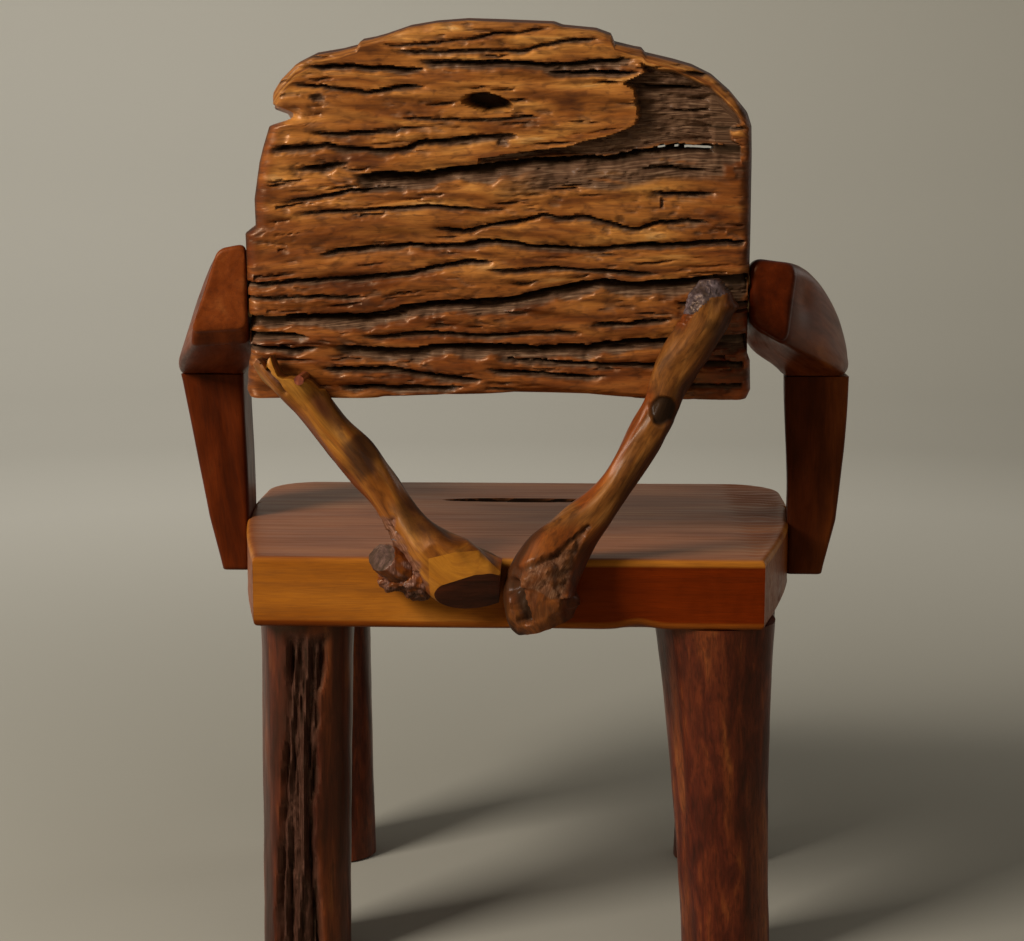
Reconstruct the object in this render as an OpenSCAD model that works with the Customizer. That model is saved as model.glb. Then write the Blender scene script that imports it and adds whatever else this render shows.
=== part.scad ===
// Rustic log armchair: a checked back slab, a thick seat slab, four hewn log legs, two hewn arms
// on tapering posts, and two natural branches that tie the back down to the seat's rear face.
// Millimetres, +Z up. The sitter faces -Y and +X is at the sitter's left.
// The origin is on the floor under the middle of the chair.

/* [Seat slab] */
// Height of the seat's top above the floor
seat_h = 420; // [400:1:440]
// Thickness of the seat slab
seat_t = 70; // [62:1:80]
// Front to back
seat_depth = 458; // [450:1:475]
// Middle line to the edge at the rear, both sides
seat_rear_half = 245; // [238:1:250]
// Middle line to the edge near the front, sitter's left
seat_left_half = 294; // [290:1:300]
// Middle line to the edge near the front, sitter's right
seat_right_half = 297; // [292:1:305]
// Radius of the front corners in plan
seat_corner_r = 58; // [30:1:70]
// Softened edge of the slab
seat_edge_r = 6; // [2:0.5:9]
// Length of the open check in the seat's top
seat_check_l = 170; // [80:1:200]
// Width of that check at its middle
seat_check_w = 24; // [8:1:30]

/* [Back slab] */
// Seat top to the lower edge of the back
back_gap = 150; // [140:1:170]
// Thickness of the back slab
back_t = 48; // [42:1:56]
// Height of the back along its slope
back_h = 353; // [340:1:370]
// Rearward lean in degrees
back_lean = 8; // [6:0.5:9]
// How far its lower rear edge lies ahead of the seat's rear face
back_inset = 18; // [14:1:24]
// Middle line to the flat where the left arm butts
back_left_half = 247; // [240:1:252]
// Middle line to the flat where the right arm butts
back_right_half = 226; // [220:1:232]
// Softened edge of the slab
back_edge_r = 6; // [3:0.5:9]
// Depth of the weathered field that lies below the polished skin
field_depth = 12; // [4:1:16]
// Depth of the knot hole
knot_depth = 16; // [6:1:20]

/* [Arms] */
// Top of the left arm at the back, above the top of its post
left_arm_rise = 145; // [138:1:152]
// Top of the right arm at the back, above the top of its post
right_arm_rise = 131; // [126:1:138]
// Height of the left arm's end grain
left_arm_end_h = 96; // [90:1:102]
// Height of the right arm's end grain
right_arm_end_h = 82; // [78:1:88]
// Outermost point of the left arm beyond the widest point of the seat
left_elbow_out = 66; // [56:1:72]
// Outermost point of the right arm beyond the widest point of the seat
right_elbow_out = 57; // [50:1:63]
// Height of an arm's outer edge above its post at the front end
arm_nose_h = 16; // [13:1:21]
// How far an arm reaches past its post
arm_nose = 12; // [6:1:20]
// Rear face of an arm ahead of the seat's rear face
arm_set = 12; // [8:1:16]

/* [Arm posts] */
// Rear face of a post ahead of the seat's rear face
post_set = 211; // [205:1:220]
// Front to back size of a post
post_depth = 98; // [86:1:104]
// Joint line between post and arm above the floor
post_top_z = 573; // [566:1:580]
// Lower end of a post above the floor
post_foot_z = 362; // [352:1:372]
// Post thickness where it passes the seat's top, left post
left_post_t = 44; // [38:1:48]
// Post thickness where it passes the seat's top, right post
right_post_t = 52; // [44:1:56]
// Depth to which a post is let into the seat's side
housing_depth = 2; // [1.5:0.5:4]

/* [Branch struts] */
// How far the feet of the branches stand out behind the seat
rear_reach = 58; // [50:1:64]
// Girth of the left branch against its natural size
left_strut_girth = 1; // [0.9:0.01:1.06]
// Girth of the right branch against its natural size
right_strut_girth = 1; // [0.9:0.01:1.06]

/* [Legs] */
// Rear leg centres in from the seat's side edges
rear_leg_in = 43; // [42:1:48]
// Front left leg centre in from the seat's side edge
front_left_leg_in = 75; // [70:1:80]
// Front right leg centre in from the seat's side edge
front_right_leg_in = 60; // [57:1:66]
// Leg centres in from the seat's rear edge, rear legs
rear_leg_set = 60; // [56:1:66]
// Leg centres in from the seat's rear edge, front legs
front_leg_set = 352; // [344:1:356]
// Radius at the foot of the thickest leg
leg_foot_r = 46; // [40:1:50]
// Tenon diameter
tenon_d = 46; // [36:1:54]
// Tenon length
tenon_l = 48; // [36:1:52]
// Thickness of the wedge's wide end
wedge_t = 7; // [4:0.5:9]
// Length of the wedge
wedge_l = 36; // [26:1:40]

/* [Dowels and pegs] */
// Dowels in the arms and posts
dowel_d = 14; // [10:0.5:16]
// Dowel length in the back or the seat
dowel_deep = 32; // [24:1:36]
// Dowel length in the arm or the post
dowel_short = 20; // [14:1:22]
// Dowels of the branch struts
strut_dowel_d = 12; // [8:0.5:14]
// Peg through the left branch
peg_d = 9; // [6:0.5:11]
// Round tenon on top of each post
post_tenon_d = 24; // [16:1:28]
// Length of that tenon
post_tenon_l = 26; // [16:1:28]
// Clearance all round a dowel, peg or tenon
fit = 0.1; // [0.05:0.05:0.2]
// Clearance between flat faces that meet
seam = 0.2; // [0.1:0.05:0.3]

/* [Hidden] */
$fn = 48;
LEFT = 1;
RIGHT = -1;
seat_rear_y = (seat_depth - rear_reach) / 2;
seat_front_y = seat_rear_y - seat_depth;
seat_under_z = seat_h - seat_t;
back_z = seat_h + back_gap;
back_y = seat_rear_y - back_inset;
post_rear_y = seat_rear_y - post_set;
post_front_y = post_rear_y - post_depth;
arm_rear_y = seat_rear_y - arm_set;
arm_front_y = post_front_y - arm_nose;
dowel_end_gap = 0.5;

// ---- Small helpers ----

function lerp(a, b, t) = a + (b - a) * t;
function unit_clamp(x) = max(0, min(1, x));
function smooth(a, b, x) = let (t = unit_clamp((x - a) / (b - a))) t * t * (3 - 2 * t);
function bell(x, centre, width) = exp(-pow((x - centre) / width, 2));
function table(keys, values, x) = lookup(x, [for (i = [0 : len(keys) - 1]) [keys[i], values[i]]]);
function middle(ring) = [for (axis = [0 : 2]) [for (p = ring) p[axis]] * [for (p = ring) 1 / len(ring)]];

// One point of a smooth curve through the rows of a list, at a share t between rows i and i + 1.
function curve_point(rows, i, t) =
    let (last = len(rows) - 1)
    let (a = rows[max(0, i - 1)], b = rows[i], c = rows[min(last, i + 1)], d = rows[min(last, i + 2)])
    b + t / 2 * ((c - a) + t * ((2 * a - 5 * b + 4 * c - d) + t * (3 * b - a - 3 * c + d)));

// The rows of a list with a further row half way along each stretch.
function curve(rows) = [
    for (i = [0 : len(rows) - 2], t = [0, 0.5]) curve_point(rows, i, t),
    rows[len(rows) - 1]
];

// A closed skin over rings of points. Each ring turns anticlockwise seen from the last ring's side.
module skin(rings) {
    n = len(rings[0]);
    last = len(rings) - 1;
    sides = [
        for (i = [0 : last - 1], j = [0 : n - 1])
        let (a = i * n + j, b = i * n + (j + 1) % n)
        each [[a, a + n, b + n], [a, b + n, b]]
    ];
    caps = [
        for (j = [0 : n - 1])
        let (k = (j + 1) % n, first_mid = (last + 1) * n)
        each [[first_mid, j, k], [first_mid + 1, last * n + k, last * n + j]]
    ];
    polyhedron([for (ring = rings) each ring, middle(rings[0]), middle(rings[last])],
        concat(sides, caps));
}

// Corner points of a four-sided section with each corner cut round by the length r.
function round_quad(corners, r) = [
    for (i = [0 : 3])
    let (here = corners[i], before = corners[(i + 3) % 4] - here, after = corners[(i + 1) % 4] - here)
    let (back_step = r * before / norm(before), on_step = r * after / norm(after))
    each [here + back_step, here + 0.29 * (back_step + on_step), here + on_step]
];

// ---- Seat slab ----

// Middle line to the seat's edge, at a distance behind the seat's rear face. The side swells
// quickly at first and runs nearly straight into the front corner.
function seat_half(side, set) =
    let (front_half = side == LEFT ? seat_left_half : seat_right_half)
    lerp(seat_rear_half, front_half, sin(90 * unit_clamp(set / (seat_depth * 0.75))));

// Plan outline of the seat, drawn in by the distance inset, anticlockwise from above.
seat_side_steps = 8;
seat_corner_steps = 6;
seat_end_steps = 12;
function seat_side(side, inset) = [
    for (i = [0 : seat_side_steps])
    let (set = lerp(inset, seat_depth - seat_corner_r, i / seat_side_steps))
    [side * (seat_half(side, set) - inset), seat_rear_y - set]
];
function seat_corner(side, inset) =
    let (half = seat_half(side, seat_depth))
    [
        for (i = [1 : seat_corner_steps])
        let (turn = 90 * i / seat_corner_steps, r = seat_corner_r - inset)
        [side * (half - seat_corner_r + r * cos(turn)), seat_front_y + seat_corner_r - r * sin(turn)]
    ];
function seat_front(inset) =
    let (from = -seat_right_half + seat_corner_r, to = seat_left_half - seat_corner_r)
    [
        for (i = [1 : seat_end_steps - 1])
        [lerp(from, to, i / seat_end_steps), seat_front_y + inset]
    ];
function seat_rear(inset) = [
    for (i = [1 : seat_end_steps - 1])
    [lerp(seat_rear_half, -seat_rear_half, i / seat_end_steps), seat_rear_y - inset]
];
function reversed(list) = [for (i = [len(list) - 1 : -1 : 0]) list[i]];
function seat_outline(inset) = concat(
    seat_side(RIGHT, inset), seat_corner(RIGHT, inset), seat_front(inset),
    reversed(concat(seat_side(LEFT, inset), seat_corner(LEFT, inset))), seat_rear(inset)
);

// Wane: a small bite out of the lower rear edge where the bark was.
wane_x = -125;
wane_w = 17;
wane_h = 5;
function seat_ring(z, inset) = [
    for (p = seat_outline(inset))
    let (bite = z == seat_under_z && p[1] > 0 ? wane_h * bell(p[0], wane_x, wane_w) : 0)
    [p[0], p[1], z + bite]
];

// Distance from the middle line to the flat that a post bears on. The flat follows the seat's side,
// so it lies further out at the post's front edge than at its rear edge.
function housing_x(side, set) =
    lerp(seat_half(side, post_set), seat_half(side, post_set + post_depth), (set - post_set) / post_depth)
    - housing_depth;

module seat_body() {
    r = seat_edge_r;
    skin([
        seat_ring(seat_under_z, r),
        seat_ring(seat_under_z + 0.3 * r, 0.3 * r),
        seat_ring(seat_under_z + r, 0),
        seat_ring(seat_h - 0.7 * r, 0),
        seat_ring(seat_h - 0.2 * r, 0.2 * r),
        seat_ring(seat_h, 0.7 * r)
    ]);
}

// A long open check: half of a spindle laid in the top face.
seat_check_x = -2;
seat_check_set = 332;
module seat_check() {
    half = seat_check_l / 2;
    wide = seat_check_w / 2;
    translate([seat_check_x, seat_rear_y - seat_check_set, seat_h])
        rotate([0, 90, 0])
            rotate_extrude()
                polygon([[0, -half], [0.5 * wide, -0.6 * half], [wide, -0.1 * half],
                    [0.85 * wide, 0.3 * half], [0.35 * wide, 0.75 * half], [0, half]]);
}

module housing(side) {
    near = post_set - seam;
    far = post_set + post_depth + seam;
    out = 400;
    translate([0, 0, seat_under_z - 1])
        linear_extrude(seat_t + 2)
            polygon([
                [side * housing_x(side, near), seat_rear_y - near], [side * out, seat_rear_y - near],
                [side * out, seat_rear_y - far], [side * housing_x(side, far), seat_rear_y - far]
            ]);
}

module seat_slab() {
    color([0.50, 0.25, 0.12])
    difference() {
        seat_body();
        seat_check();
        housing(LEFT);
        housing(RIGHT);
        for (leg = legs)
            translate([leg[1], seat_rear_y - leg[2], seat_under_z - 1])
                cylinder(d = tenon_d + 2 * fit, h = tenon_l + 1 + dowel_end_gap);
        for (side = [LEFT, RIGHT])
            for (place = post_dowel_sets) post_dowel(side, place, fit);
        for (foot = foot_dowels) foot_dowel(foot, fit);
    }
}

// ---- Back slab ----

// The slab is drawn upright and then leant back: u runs across, d outwards from the rear plane and
// v up the slope from its lower edge.
function up_slope(v) = v * back_h / 355;
// Rear plane of the back at a height above the floor.
function back_plane_y(z) = back_y + (z - back_z) * tan(back_lean);
function back_mid_y(z) = back_plane_y(z) - back_t / 2 / cos(back_lean);

// Side outlines: height up the slab, and how far the edge lies outside the arm's flat.
left_edge = [[0, 3], [6, 6], [33, 3], [45, 2], [158, 2], [164, -13], [190, -14], [224, -20],
    [238, -23], [256, -29], [270, -32], [280, -35]];
right_edge = [[0, -1], [8, 3], [36, 3], [45, 2], [148, 2], [156, -2], [234, -4], [258, -5], [270, -10]];
// The arms butt against sawn flats on both edges, so the edges stand a little proud of the flats.
function slope_v(z) = (z - back_z) / cos(back_lean) * 355 / back_h;
flat_from = slope_v(min(arm_low_z(LEFT), arm_low_z(RIGHT))) - 11;
flat_to = slope_v(max(arm_top_z(LEFT), arm_top_z(RIGHT))) + 6;
// A bite out of the sitter's left edge, right through the slab.
edge_bite = [[220, 260], [206, 261], [194, 265], [195, 270], [206, 275], [220, 278]];
// Top outline: distance from the middle line, and height up the slab.
top_edge = [[-216, 270], [-201, 288], [-184, 303], [-166, 312], [-149, 317], [-128, 322], [-114, 329],
    [-100, 337], [-92, 340], [-80, 346], [-50, 350], [5, 354], [35, 355], [63, 353], [87, 349],
    [109, 341], [124, 333], [149, 327], [173, 323], [189, 315], [203, 301], [212, 288]];
// Lower outline: distance from the middle line, and height of the shallow arch.
lower_edge = [[-226, 0], [-214, -2], [-129, 1], [-79, 6], [-17, 7], [27, 5], [94, 3], [114, -1],
    [238, -3], [250, 0]];

// The long checks, lowest first. Each has its height up the slab at seven stations across, and
// its depth at the same stations, counted from the sitter's left edge to the right.
stations = [240, 160, 80, 0, -80, -160, -225];
checks = [
    [[11, 11, 12, 11, 10, 10, 11], [2, 8, 7, 3, 3, 4, 2]],
    [[31, 30, 25, 21, 23, 18, 20], [2, 7, 9, 6, 8, 4, 3]],
    [[41, 41, 39, 40, 35, 36, 38], [3, 3, 3, 7, 9, 6, 3]],
    [[50, 51, 48, 52, 53, 59, 60], [5, 12, 14, 12, 14, 13, 5]],
    [[64, 59, 64, 62, 65, 68, 70], [6, 6, 8, 8, 7, 4, 4]],
    [[71, 71, 75, 76, 75, 78, 84], [3, 3, 3, 3, 8, 8, 4]],
    [[78, 81, 93, 98, 113, 116, 120], [9, 9, 12, 15, 17, 17, 14]],
    [[97, 100, 105, 122, 127, 123, 129], [8, 8, 4, 4, 6, 6, 3]],
    [[111, 117, 125, 134, 136, 137, 140], [8, 9, 10, 8, 3, 3, 3]],
    [[128, 142, 149, 151, 147, 151, 153], [6, 10, 10, 9, 10, 10, 7]],
    [[152, 165, 165, 169, 175, 171, 170], [3, 8, 9, 10, 10, 11, 8]],
    [[172, 181, 185, 183, 188, 188, 187], [5, 9, 9, 7, 3, 5, 4]],
    [[188, 197, 203, 204, 206, 205, 205], [6, 9, 9, 5, 4, 5, 3]],
    [[205, 211, 216, 225, 230, 241, 239], [3, 9, 16, 18, 20, 20, 14]],
    [[218, 224, 229, 233, 247, 254, 250], [5, 7, 4, 6, 6, 4, 4]],
    [[235, 242, 245, 251, 260, 266, 262], [8, 10, 10, 9, 4, 5, 4]],
    [[246, 254, 257, 260, 269, 278, 274], [4, 8, 8, 5, 4, 4, 3]],
    [[259, 270, 267, 267, 276, 289, 286], [6, 8, 9, 8, 5, 5, 3]],
    [[268, 281, 277, 281, 287, 299, 297], [3, 6, 10, 12, 7, 5, 3]],
    [[279, 293, 295, 299, 307, 309, 308], [7, 8, 8, 8, 12, 9, 4]],
    [[294, 312, 312, 317, 318, 320, 318], [5, 7, 9, 10, 9, 6, 3]],
    [[308, 322, 327, 328, 338, 332, 326], [4, 6, 9, 9, 8, 5, 3]],
    [[318, 334, 335, 342, 346, 342, 336], [3, 5, 6, 6, 5, 4, 3]]
];
// Where the polished skin breaks off over the weathered field: height up the slab, and distance
// from the middle line.
break_line = [[229, 26], [234, -10], [241, -60], [246, -73], [251, -98], [257, -111], [262, -120],
    [275, -120], [294, -115], [298, -109], [308, -126], [322, -122]];
deep_check = 13;
knot_u = 18;
knot_v = 281;

// Columns are close together at both ends, where the edges are round.
end_shares = [0, 0.007, 0.016, 0.036];
middle_columns = 28;
columns = concat(
    end_shares,
    [for (i = [1 : middle_columns]) lerp(0.036, 0.964, i / (middle_columns + 1))],
    [for (i = [3 : -1 : 0]) 1 - end_shares[i]]
);
// Share of the edge rounding left at a distance from the edge.
function edge_round(reach) = reach >= back_edge_r ? 0
    : back_edge_r - sqrt(pow(back_edge_r, 2) - pow(back_edge_r - reach, 2));

function top_v(u) = lookup(u, top_edge);
function low_v(u) = lookup(u, lower_edge);
function check_v(k, u) = table(stations, checks[k][0], u)
    + 1.2 * sin(2.3 * u + 77 * k) + 0.6 * sin(7.1 * u + 31 * k);
function check_d(k, u) = table(stations, checks[k][1], u) * (0.8 + 0.2 * sin(5 * u + 131 * k));
check_count = len(checks);
// Least distance between two checks, where the top edge crowds them together.
row_pitch = 3;
// Height of the check k at u, kept below the slab's top edge.
function row_v(k, u) = min(check_v(k, u), top_v(u) - row_pitch * (check_count - k));
// How deep the weathered field lies at a place.
function field(u, v) = field_depth
    * smooth(3, -3, u - lookup(v, break_line))
    * smooth(-208, -192, u)
    * smooth(0, 5, v - check_v(deep_check, u))
    * smooth(326, 316, v);
function knot(u, v) = knot_depth * bell(u, knot_u, 17) * bell(v, knot_v, 6);

// Rear face from the lower edge up: at each check its floor, the sharp lip of the ridge above it
// and that ridge's crown, from which the surface falls slowly into the next check.
function rear_rows(u) = concat(
    [[low_v(u), -back_edge_r], [low_v(u) + 3, -0.3 * back_edge_r]],
    [
        for (k = [0 : check_count - 1])
        let (floor_v = row_v(k, u), roof_v = k < check_count - 1 ? row_v(k + 1, u) : top_v(u) - 0.5)
        let (rise = roof_v - floor_v, dip = check_d(k, u))
        each [
            [floor_v, -dip],
            [floor_v + min(1.8, 0.25 * rise), -0.1 * dip],
            [floor_v + 0.55 * rise, -0.6 - 0.6 * sin(3.1 * u + 57 * k)]
        ]
    ],
    [[top_v(u), -back_edge_r]]
);
// Front face from the top edge down, smoother than the rear, with a slow hewn wave.
front_shares = [1, 0.985, 0.95, 0.88, 0.8, 0.7, 0.6, 0.5, 0.4, 0.3, 0.2, 0.12, 0.05, 0.015, 0];
function front_rows(u) = [
    for (share = front_shares)
    let (low = low_v(u), high = top_v(u), v = lerp(low, high, share))
    let (reach = min(v - low, high - v) * 0.6)
    [v, -back_t + edge_round(reach) + 0.8 * (1 - sin(1.9 * u + 2.3 * v))]
];

function back_column(share) =
    let (first = top_edge[len(top_edge) - 1][0], last = top_edge[0][0])
    let (u0 = lerp(first, last, share), reach = min(share, 1 - share) * (back_left_half + back_right_half))
    let (rear = rear_rows(u0), front = front_rows(u0))
    [
        for (row = concat(rear, front))
        let (v = row[0], is_rear = row[1] > -back_t / 2)
        let (left = back_left_half + lookup(v, left_edge), right = -back_right_half - lookup(v, right_edge))
        let (u = lerp(left, right, share))
        let (sunk = is_rear ? field(u, v) + knot(u, v) : 0)
        let (d = is_rear ? min(row[1], -edge_round(reach)) - sunk : max(row[1], edge_round(reach) - back_t))
        [u, d, up_slope(v)]
    ];

// The rings stand at both ends on long thin faces, so the caps are laced from the rear rows to the
// front rows and not fanned from a middle point.
module back_body() {
    rings = [for (share = columns) back_column(share)];
    n = len(rings[0]);
    last = len(rings) - 1;
    front_n = len(front_shares);
    rear_n = n - front_n;
    function facing(j) = n - 1 - floor(j * (front_n - 1) / (rear_n - 1) + 0.5);
    sides = [
        for (i = [0 : last - 1], j = [0 : n - 1])
        let (a = i * n + j, b = i * n + (j + 1) % n)
        each [[a, b, b + n], [a, b + n, a + n]]
    ];
    lace = [
        for (j = [0 : rear_n - 2])
        let (p = facing(j), q = facing(j + 1))
        each p == q ? [[j, j + 1, p]] : [[j, j + 1, q], [j, q, p]]
    ];
    near_cap = [for (t = lace) [t[0], t[2], t[1]]];
    far_cap = [for (t = lace) t + last * n * [1, 1, 1]];
    polyhedron([for (ring = rings) each ring], concat(sides, near_cap, far_cap));
}

// The deep check goes right through near the sitter's right edge, on the level, so that daylight
// shows through it. Heights are counted from the check's own height up the slab.
through_v = 241;
through_slit = [[-136, 0], [-150, 2], [-166, 2.5], [-184, 1], [-166, -2], [-150, -2]];
module through_check() {
    z = back_z + up_slope(through_v) * cos(back_lean);
    reach = 2 * back_t;
    translate([0, back_mid_y(z) + reach / 2, z])
        rotate([90, 0, 0])
            linear_extrude(reach) polygon(through_slit);
}

module bite() {
    rotate([90, 0, 0])
        linear_extrude(back_t + 2)
            polygon([for (p = edge_bite) [p[0], up_slope(p[1])]]);
}
module arm_flat(side) {
    over = 20;
    x = side == LEFT ? back_left_half : -back_right_half - over;
    translate([x, -back_t - 1, up_slope(flat_from)]) cube([over, back_t + 2, up_slope(flat_to - flat_from)]);
}

module back_slab() {
    color([0.55, 0.33, 0.13])
    difference() {
        translate([0, back_y, back_z])
            rotate([-back_lean, 0, 0])
                difference() {
                    back_body();
                    translate([0, 1, 0]) bite();
                    arm_flat(LEFT);
                    arm_flat(RIGHT);
                }
        through_check();
        for (side = [LEFT, RIGHT])
            for (drop = arm_dowel_drops(side)) arm_dowel(side, drop, fit);
        strut_peg(fit);
        strut_dowel(fit);
    }
}

// ---- Arms ----

function arm_top_z(side) = post_top_z + (side == LEFT ? left_arm_rise : right_arm_rise);
function arm_low_z(side) = arm_top_z(side) - (side == LEFT ? left_arm_end_h : right_arm_end_h);
function elbow_x(side) = side == LEFT ? seat_left_half + left_elbow_out : seat_right_half + right_elbow_out;
function back_half(side) = side == LEFT ? back_left_half : back_right_half;
// End grain at the back: width at its upper and at its lower edge.
left_end_w = [26, 54];
right_end_w = [42, 32];
// How much higher the underside lies against the back than at the outer face.
left_underside_rise = 4;
right_underside_rise = 23;
arm_corner_r = 9;
arm_steps = 10;

// Outward sweep and fall of an arm's outer edge: 0 at the back, 1 at the front end. The left arm
// falls away at once, and the right arm first runs out and then falls.
function arm_sweep(side, t) = side == LEFT ? sin(90 * t) : sin(90 * unit_clamp(t / 0.93));
function arm_fall(side, t) = side == LEFT ? pow(sin(90 * t), 1.15) : smooth(0, 1, t);

// Corners of an arm's section at a share t of its run, anticlockwise seen from the front. The
// underside comes down to the post's top and runs level from there.
function arm_section(side, t) =
    let (y = lerp(arm_rear_y, arm_front_y, t), end_w = side == LEFT ? left_end_w : right_end_w)
    let (rise = side == LEFT ? left_underside_rise : right_underside_rise)
    let (past_back = (arm_set + back_t + 4) / (arm_rear_y - arm_front_y))
    let (front_in_x = post_in_x(side, post_set, post_top_z) - 2)
    let (in_x = lerp(back_half(side) + seam - 1, front_in_x, smooth(past_back, 0.75, t)))
    let (top_x = lerp(back_half(side) + end_w[0], elbow_x(side) - 3, arm_sweep(side, t)))
    let (low_x = lerp(back_half(side) + end_w[1], elbow_x(side), sin(90 * unit_clamp(t / 0.85))))
    let (top_z = lerp(arm_top_z(side) - 4, post_top_z + arm_nose_h, arm_fall(side, t)))
    let (down = unit_clamp((arm_rear_y - y) / (arm_rear_y - post_rear_y)))
    [
        [side * in_x, y, lerp(arm_low_z(side) + rise, post_top_z, down)],
        [side * in_x, y, top_z + lerp(5, 20, t)],
        [side * top_x, y, top_z],
        [side * low_x, y, lerp(arm_low_z(side), post_top_z, down)]
    ];

// The rear end has a chamfer under it and the front end is drawn in to a round nose.
function arm_ring(side, t) =
    let (corners = arm_section(side, t), mid = middle(corners))
    let (lift = t == 0 ? (side == LEFT ? 16 : 5) : 0)
    let (shaped = [
        for (c = corners)
        let (low = c[2] < mid[2], p = t == 1 ? mid + 0.82 * (c - mid) : c)
        [p[0], c[1], low ? c[2] + lift : p[2]]
    ])
    round_quad(shaped, t == 1 ? 6 : arm_corner_r);

module arm(side) {
    shares = [0, 0.045, for (i = [1 : arm_steps]) lerp(0.045, 0.96, i / arm_steps), 1];
    rings = [for (t = shares) arm_ring(side, t)];
    difference() {
        skin(side == LEFT ? rings : [for (ring = rings) reversed(ring)]);
        arm_butt(side);
        for (drop = arm_dowel_drops(side)) arm_dowel(side, drop, fit);
        post_tenon(side, fit);
    }
}
// Plane that the arm's inner face is sawn to, so that it bears flat on the edge of the back.
module arm_butt(side) {
    in_x = back_half(side) + seam;
    translate([side == LEFT ? 0 : -in_x, arm_front_y - 1, 0])
        cube([in_x, arm_rear_y - arm_front_y + 2, arm_top_z(side) + 20]);
}
module left_arm() {
    color([0.45, 0.18, 0.09]) arm(LEFT);
}
module right_arm() {
    color([0.45, 0.18, 0.09]) arm(RIGHT);
}

// ---- Arm posts ----

// Inner and outer face of a post at a height. The inner face follows the seat's side.
function post_in_x(side, set, z) =
    housing_x(side, set) + seam + (side == LEFT ? 3 : -6) * smooth(seat_h + 10, post_top_z, z);
function post_out_x(side, z) =
    let (t = (z - seat_h) / (post_top_z - seat_h), thick = side == LEFT ? left_post_t : right_post_t)
    let (at_top = elbow_x(side) - 6, at_seat = housing_x(side, post_set) + thick)
    t < 0 ? at_seat + 0.24 * (z - seat_h) : lerp(at_seat, at_top, side == LEFT ? t : sin(90 * t));

function post_ring(side, z, inset) =
    let (near = post_in_x(side, post_set, z), far = post_in_x(side, post_set + post_depth, z))
    let (out = post_out_x(side, z) - inset)
    round_quad([
        [side * near, post_rear_y - inset, z],
        [side * far, post_front_y + inset, z],
        [side * out, post_front_y + inset, z],
        [side * out, post_rear_y - inset, z]
    ], 7);

module post_tenon(side, gap) {
    x = side * (post_in_x(side, post_set + post_depth / 2, post_top_z) + post_out_x(side, post_top_z)) / 2;
    root = gap > 0 ? 1 : 6;
    translate([x, (post_rear_y + post_front_y) / 2, post_top_z - root])
        cylinder(d = post_tenon_d + 2 * gap, h = root + post_tenon_l + (gap > 0 ? dowel_end_gap : 0));
}

module post(side) {
    top = post_top_z - seam;
    levels = [for (i = [0 : 7]) lerp(post_foot_z + 6, top, i / 7)];
    rings = concat([post_ring(side, post_foot_z, 4)], [for (z = levels) post_ring(side, z, 0)]);
    difference() {
        union() {
            skin(side == LEFT ? rings : [for (ring = rings) reversed(ring)]);
            post_tenon(side, 0);
        }
        for (place = post_dowel_sets) post_dowel(side, place, fit);
    }
}
module left_arm_post() {
    color([0.40, 0.15, 0.08]) post(LEFT);
}
module right_arm_post() {
    color([0.40, 0.15, 0.08]) post(RIGHT);
}

// ---- Branch struts ----

strut_sides = 14;
// Plane that a branch bears on at a height: the seat's rear face, then the back's rear plane.
function bearing_y(z) = lookup(z, [
    [seat_h, seat_rear_y + seam],
    [back_z, back_plane_y(back_z) + seam],
    [back_z + back_h, back_plane_y(back_z + back_h) + seam]
]);
// Heights on a branch are counted from the middle of the gap between the seat and the back.
gap_mid_z = (seat_h + back_z) / 2;
// Centre line from the upper end down: distance from the middle line, height, half width.
left_branch = [[231, 121, 15], [219, 112, 20], [203, 98, 22], [186, 74, 19], [167, 49, 18.5],
    [149, 29, 20], [133, 11, 19], [119, -7, 17.5], [106, -26, 18], [92, -46, 22], [74, -66, 28],
    [54, -81, 31], [34, -89, 30], [14, -92, 25]];
right_branch = [[-187, 191, 12], [-188, 177, 21], [-184, 158, 24], [-174, 137, 22], [-163, 117, 20.5],
    [-152, 96, 19], [-145, 73, 18], [-134, 50, 17.5], [-121, 27, 16.5], [-104, -1, 16.5],
    [-85, -25, 19], [-64, -47, 23], [-45, -70, 31], [-34, -94, 36], [-33, -116, 35], [-38, -133, 27]];

function branch_ring(path, i, girth, twist) =
    let (a = path[max(0, i - 1)], b = path[min(len(path) - 1, i + 1)], p = path[i])
    let (run = [b[0] - a[0], b[1] - a[1]] / norm([b[0] - a[0], b[1] - a[1]]))
    let (depth = 0.93 * girth * p[2], mid_y = bearing_y(gap_mid_z + p[1]) + 0.8 * depth)
    [
        for (k = [0 : strut_sides - 1])
        let (turn = 360 * k / strut_sides)
        let (lump = 1 + 0.05 * sin(2 * turn + twist * i) + 0.035 * sin(5 * turn - 61 * i))
        let (x = p[0] + run[1] * girth * p[2] * lump * cos(turn))
        let (z = gap_mid_z + p[1] - run[0] * girth * p[2] * lump * cos(turn))
        let (free = z > seat_h + 4 && z < back_z - 4)
        let (y = mid_y + depth * lump * sin(turn))
        [x, min(seat_rear_y + rear_reach, free ? y : max(bearing_y(z), y)), z]
    ];
function branch_rings(path, girth, twist) =
    let (line = curve(path))
    [for (i = [0 : len(line) - 1]) branch_ring(line, i, girth, twist)];

// A knob of burl: rings round a short leaning stem.
function knob_rings(centre, lean, size) = [
    for (i = [0 : 5])
    let (t = -1 + i / 2.5, r = size[0] * sqrt(max(0.08, 1 - t * t)))
    [
        for (k = [0 : 9])
        let (turn = 36 * k, lump = 1 + 0.12 * sin(3 * turn + 70 * i))
        [
            centre[0] + lean[0] * t + r * lump * cos(turn),
            max(seat_rear_y + seam, centre[1] + r * lump * sin(turn)),
            centre[2] + size[1] * t
        ]
    ]
];

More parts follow.
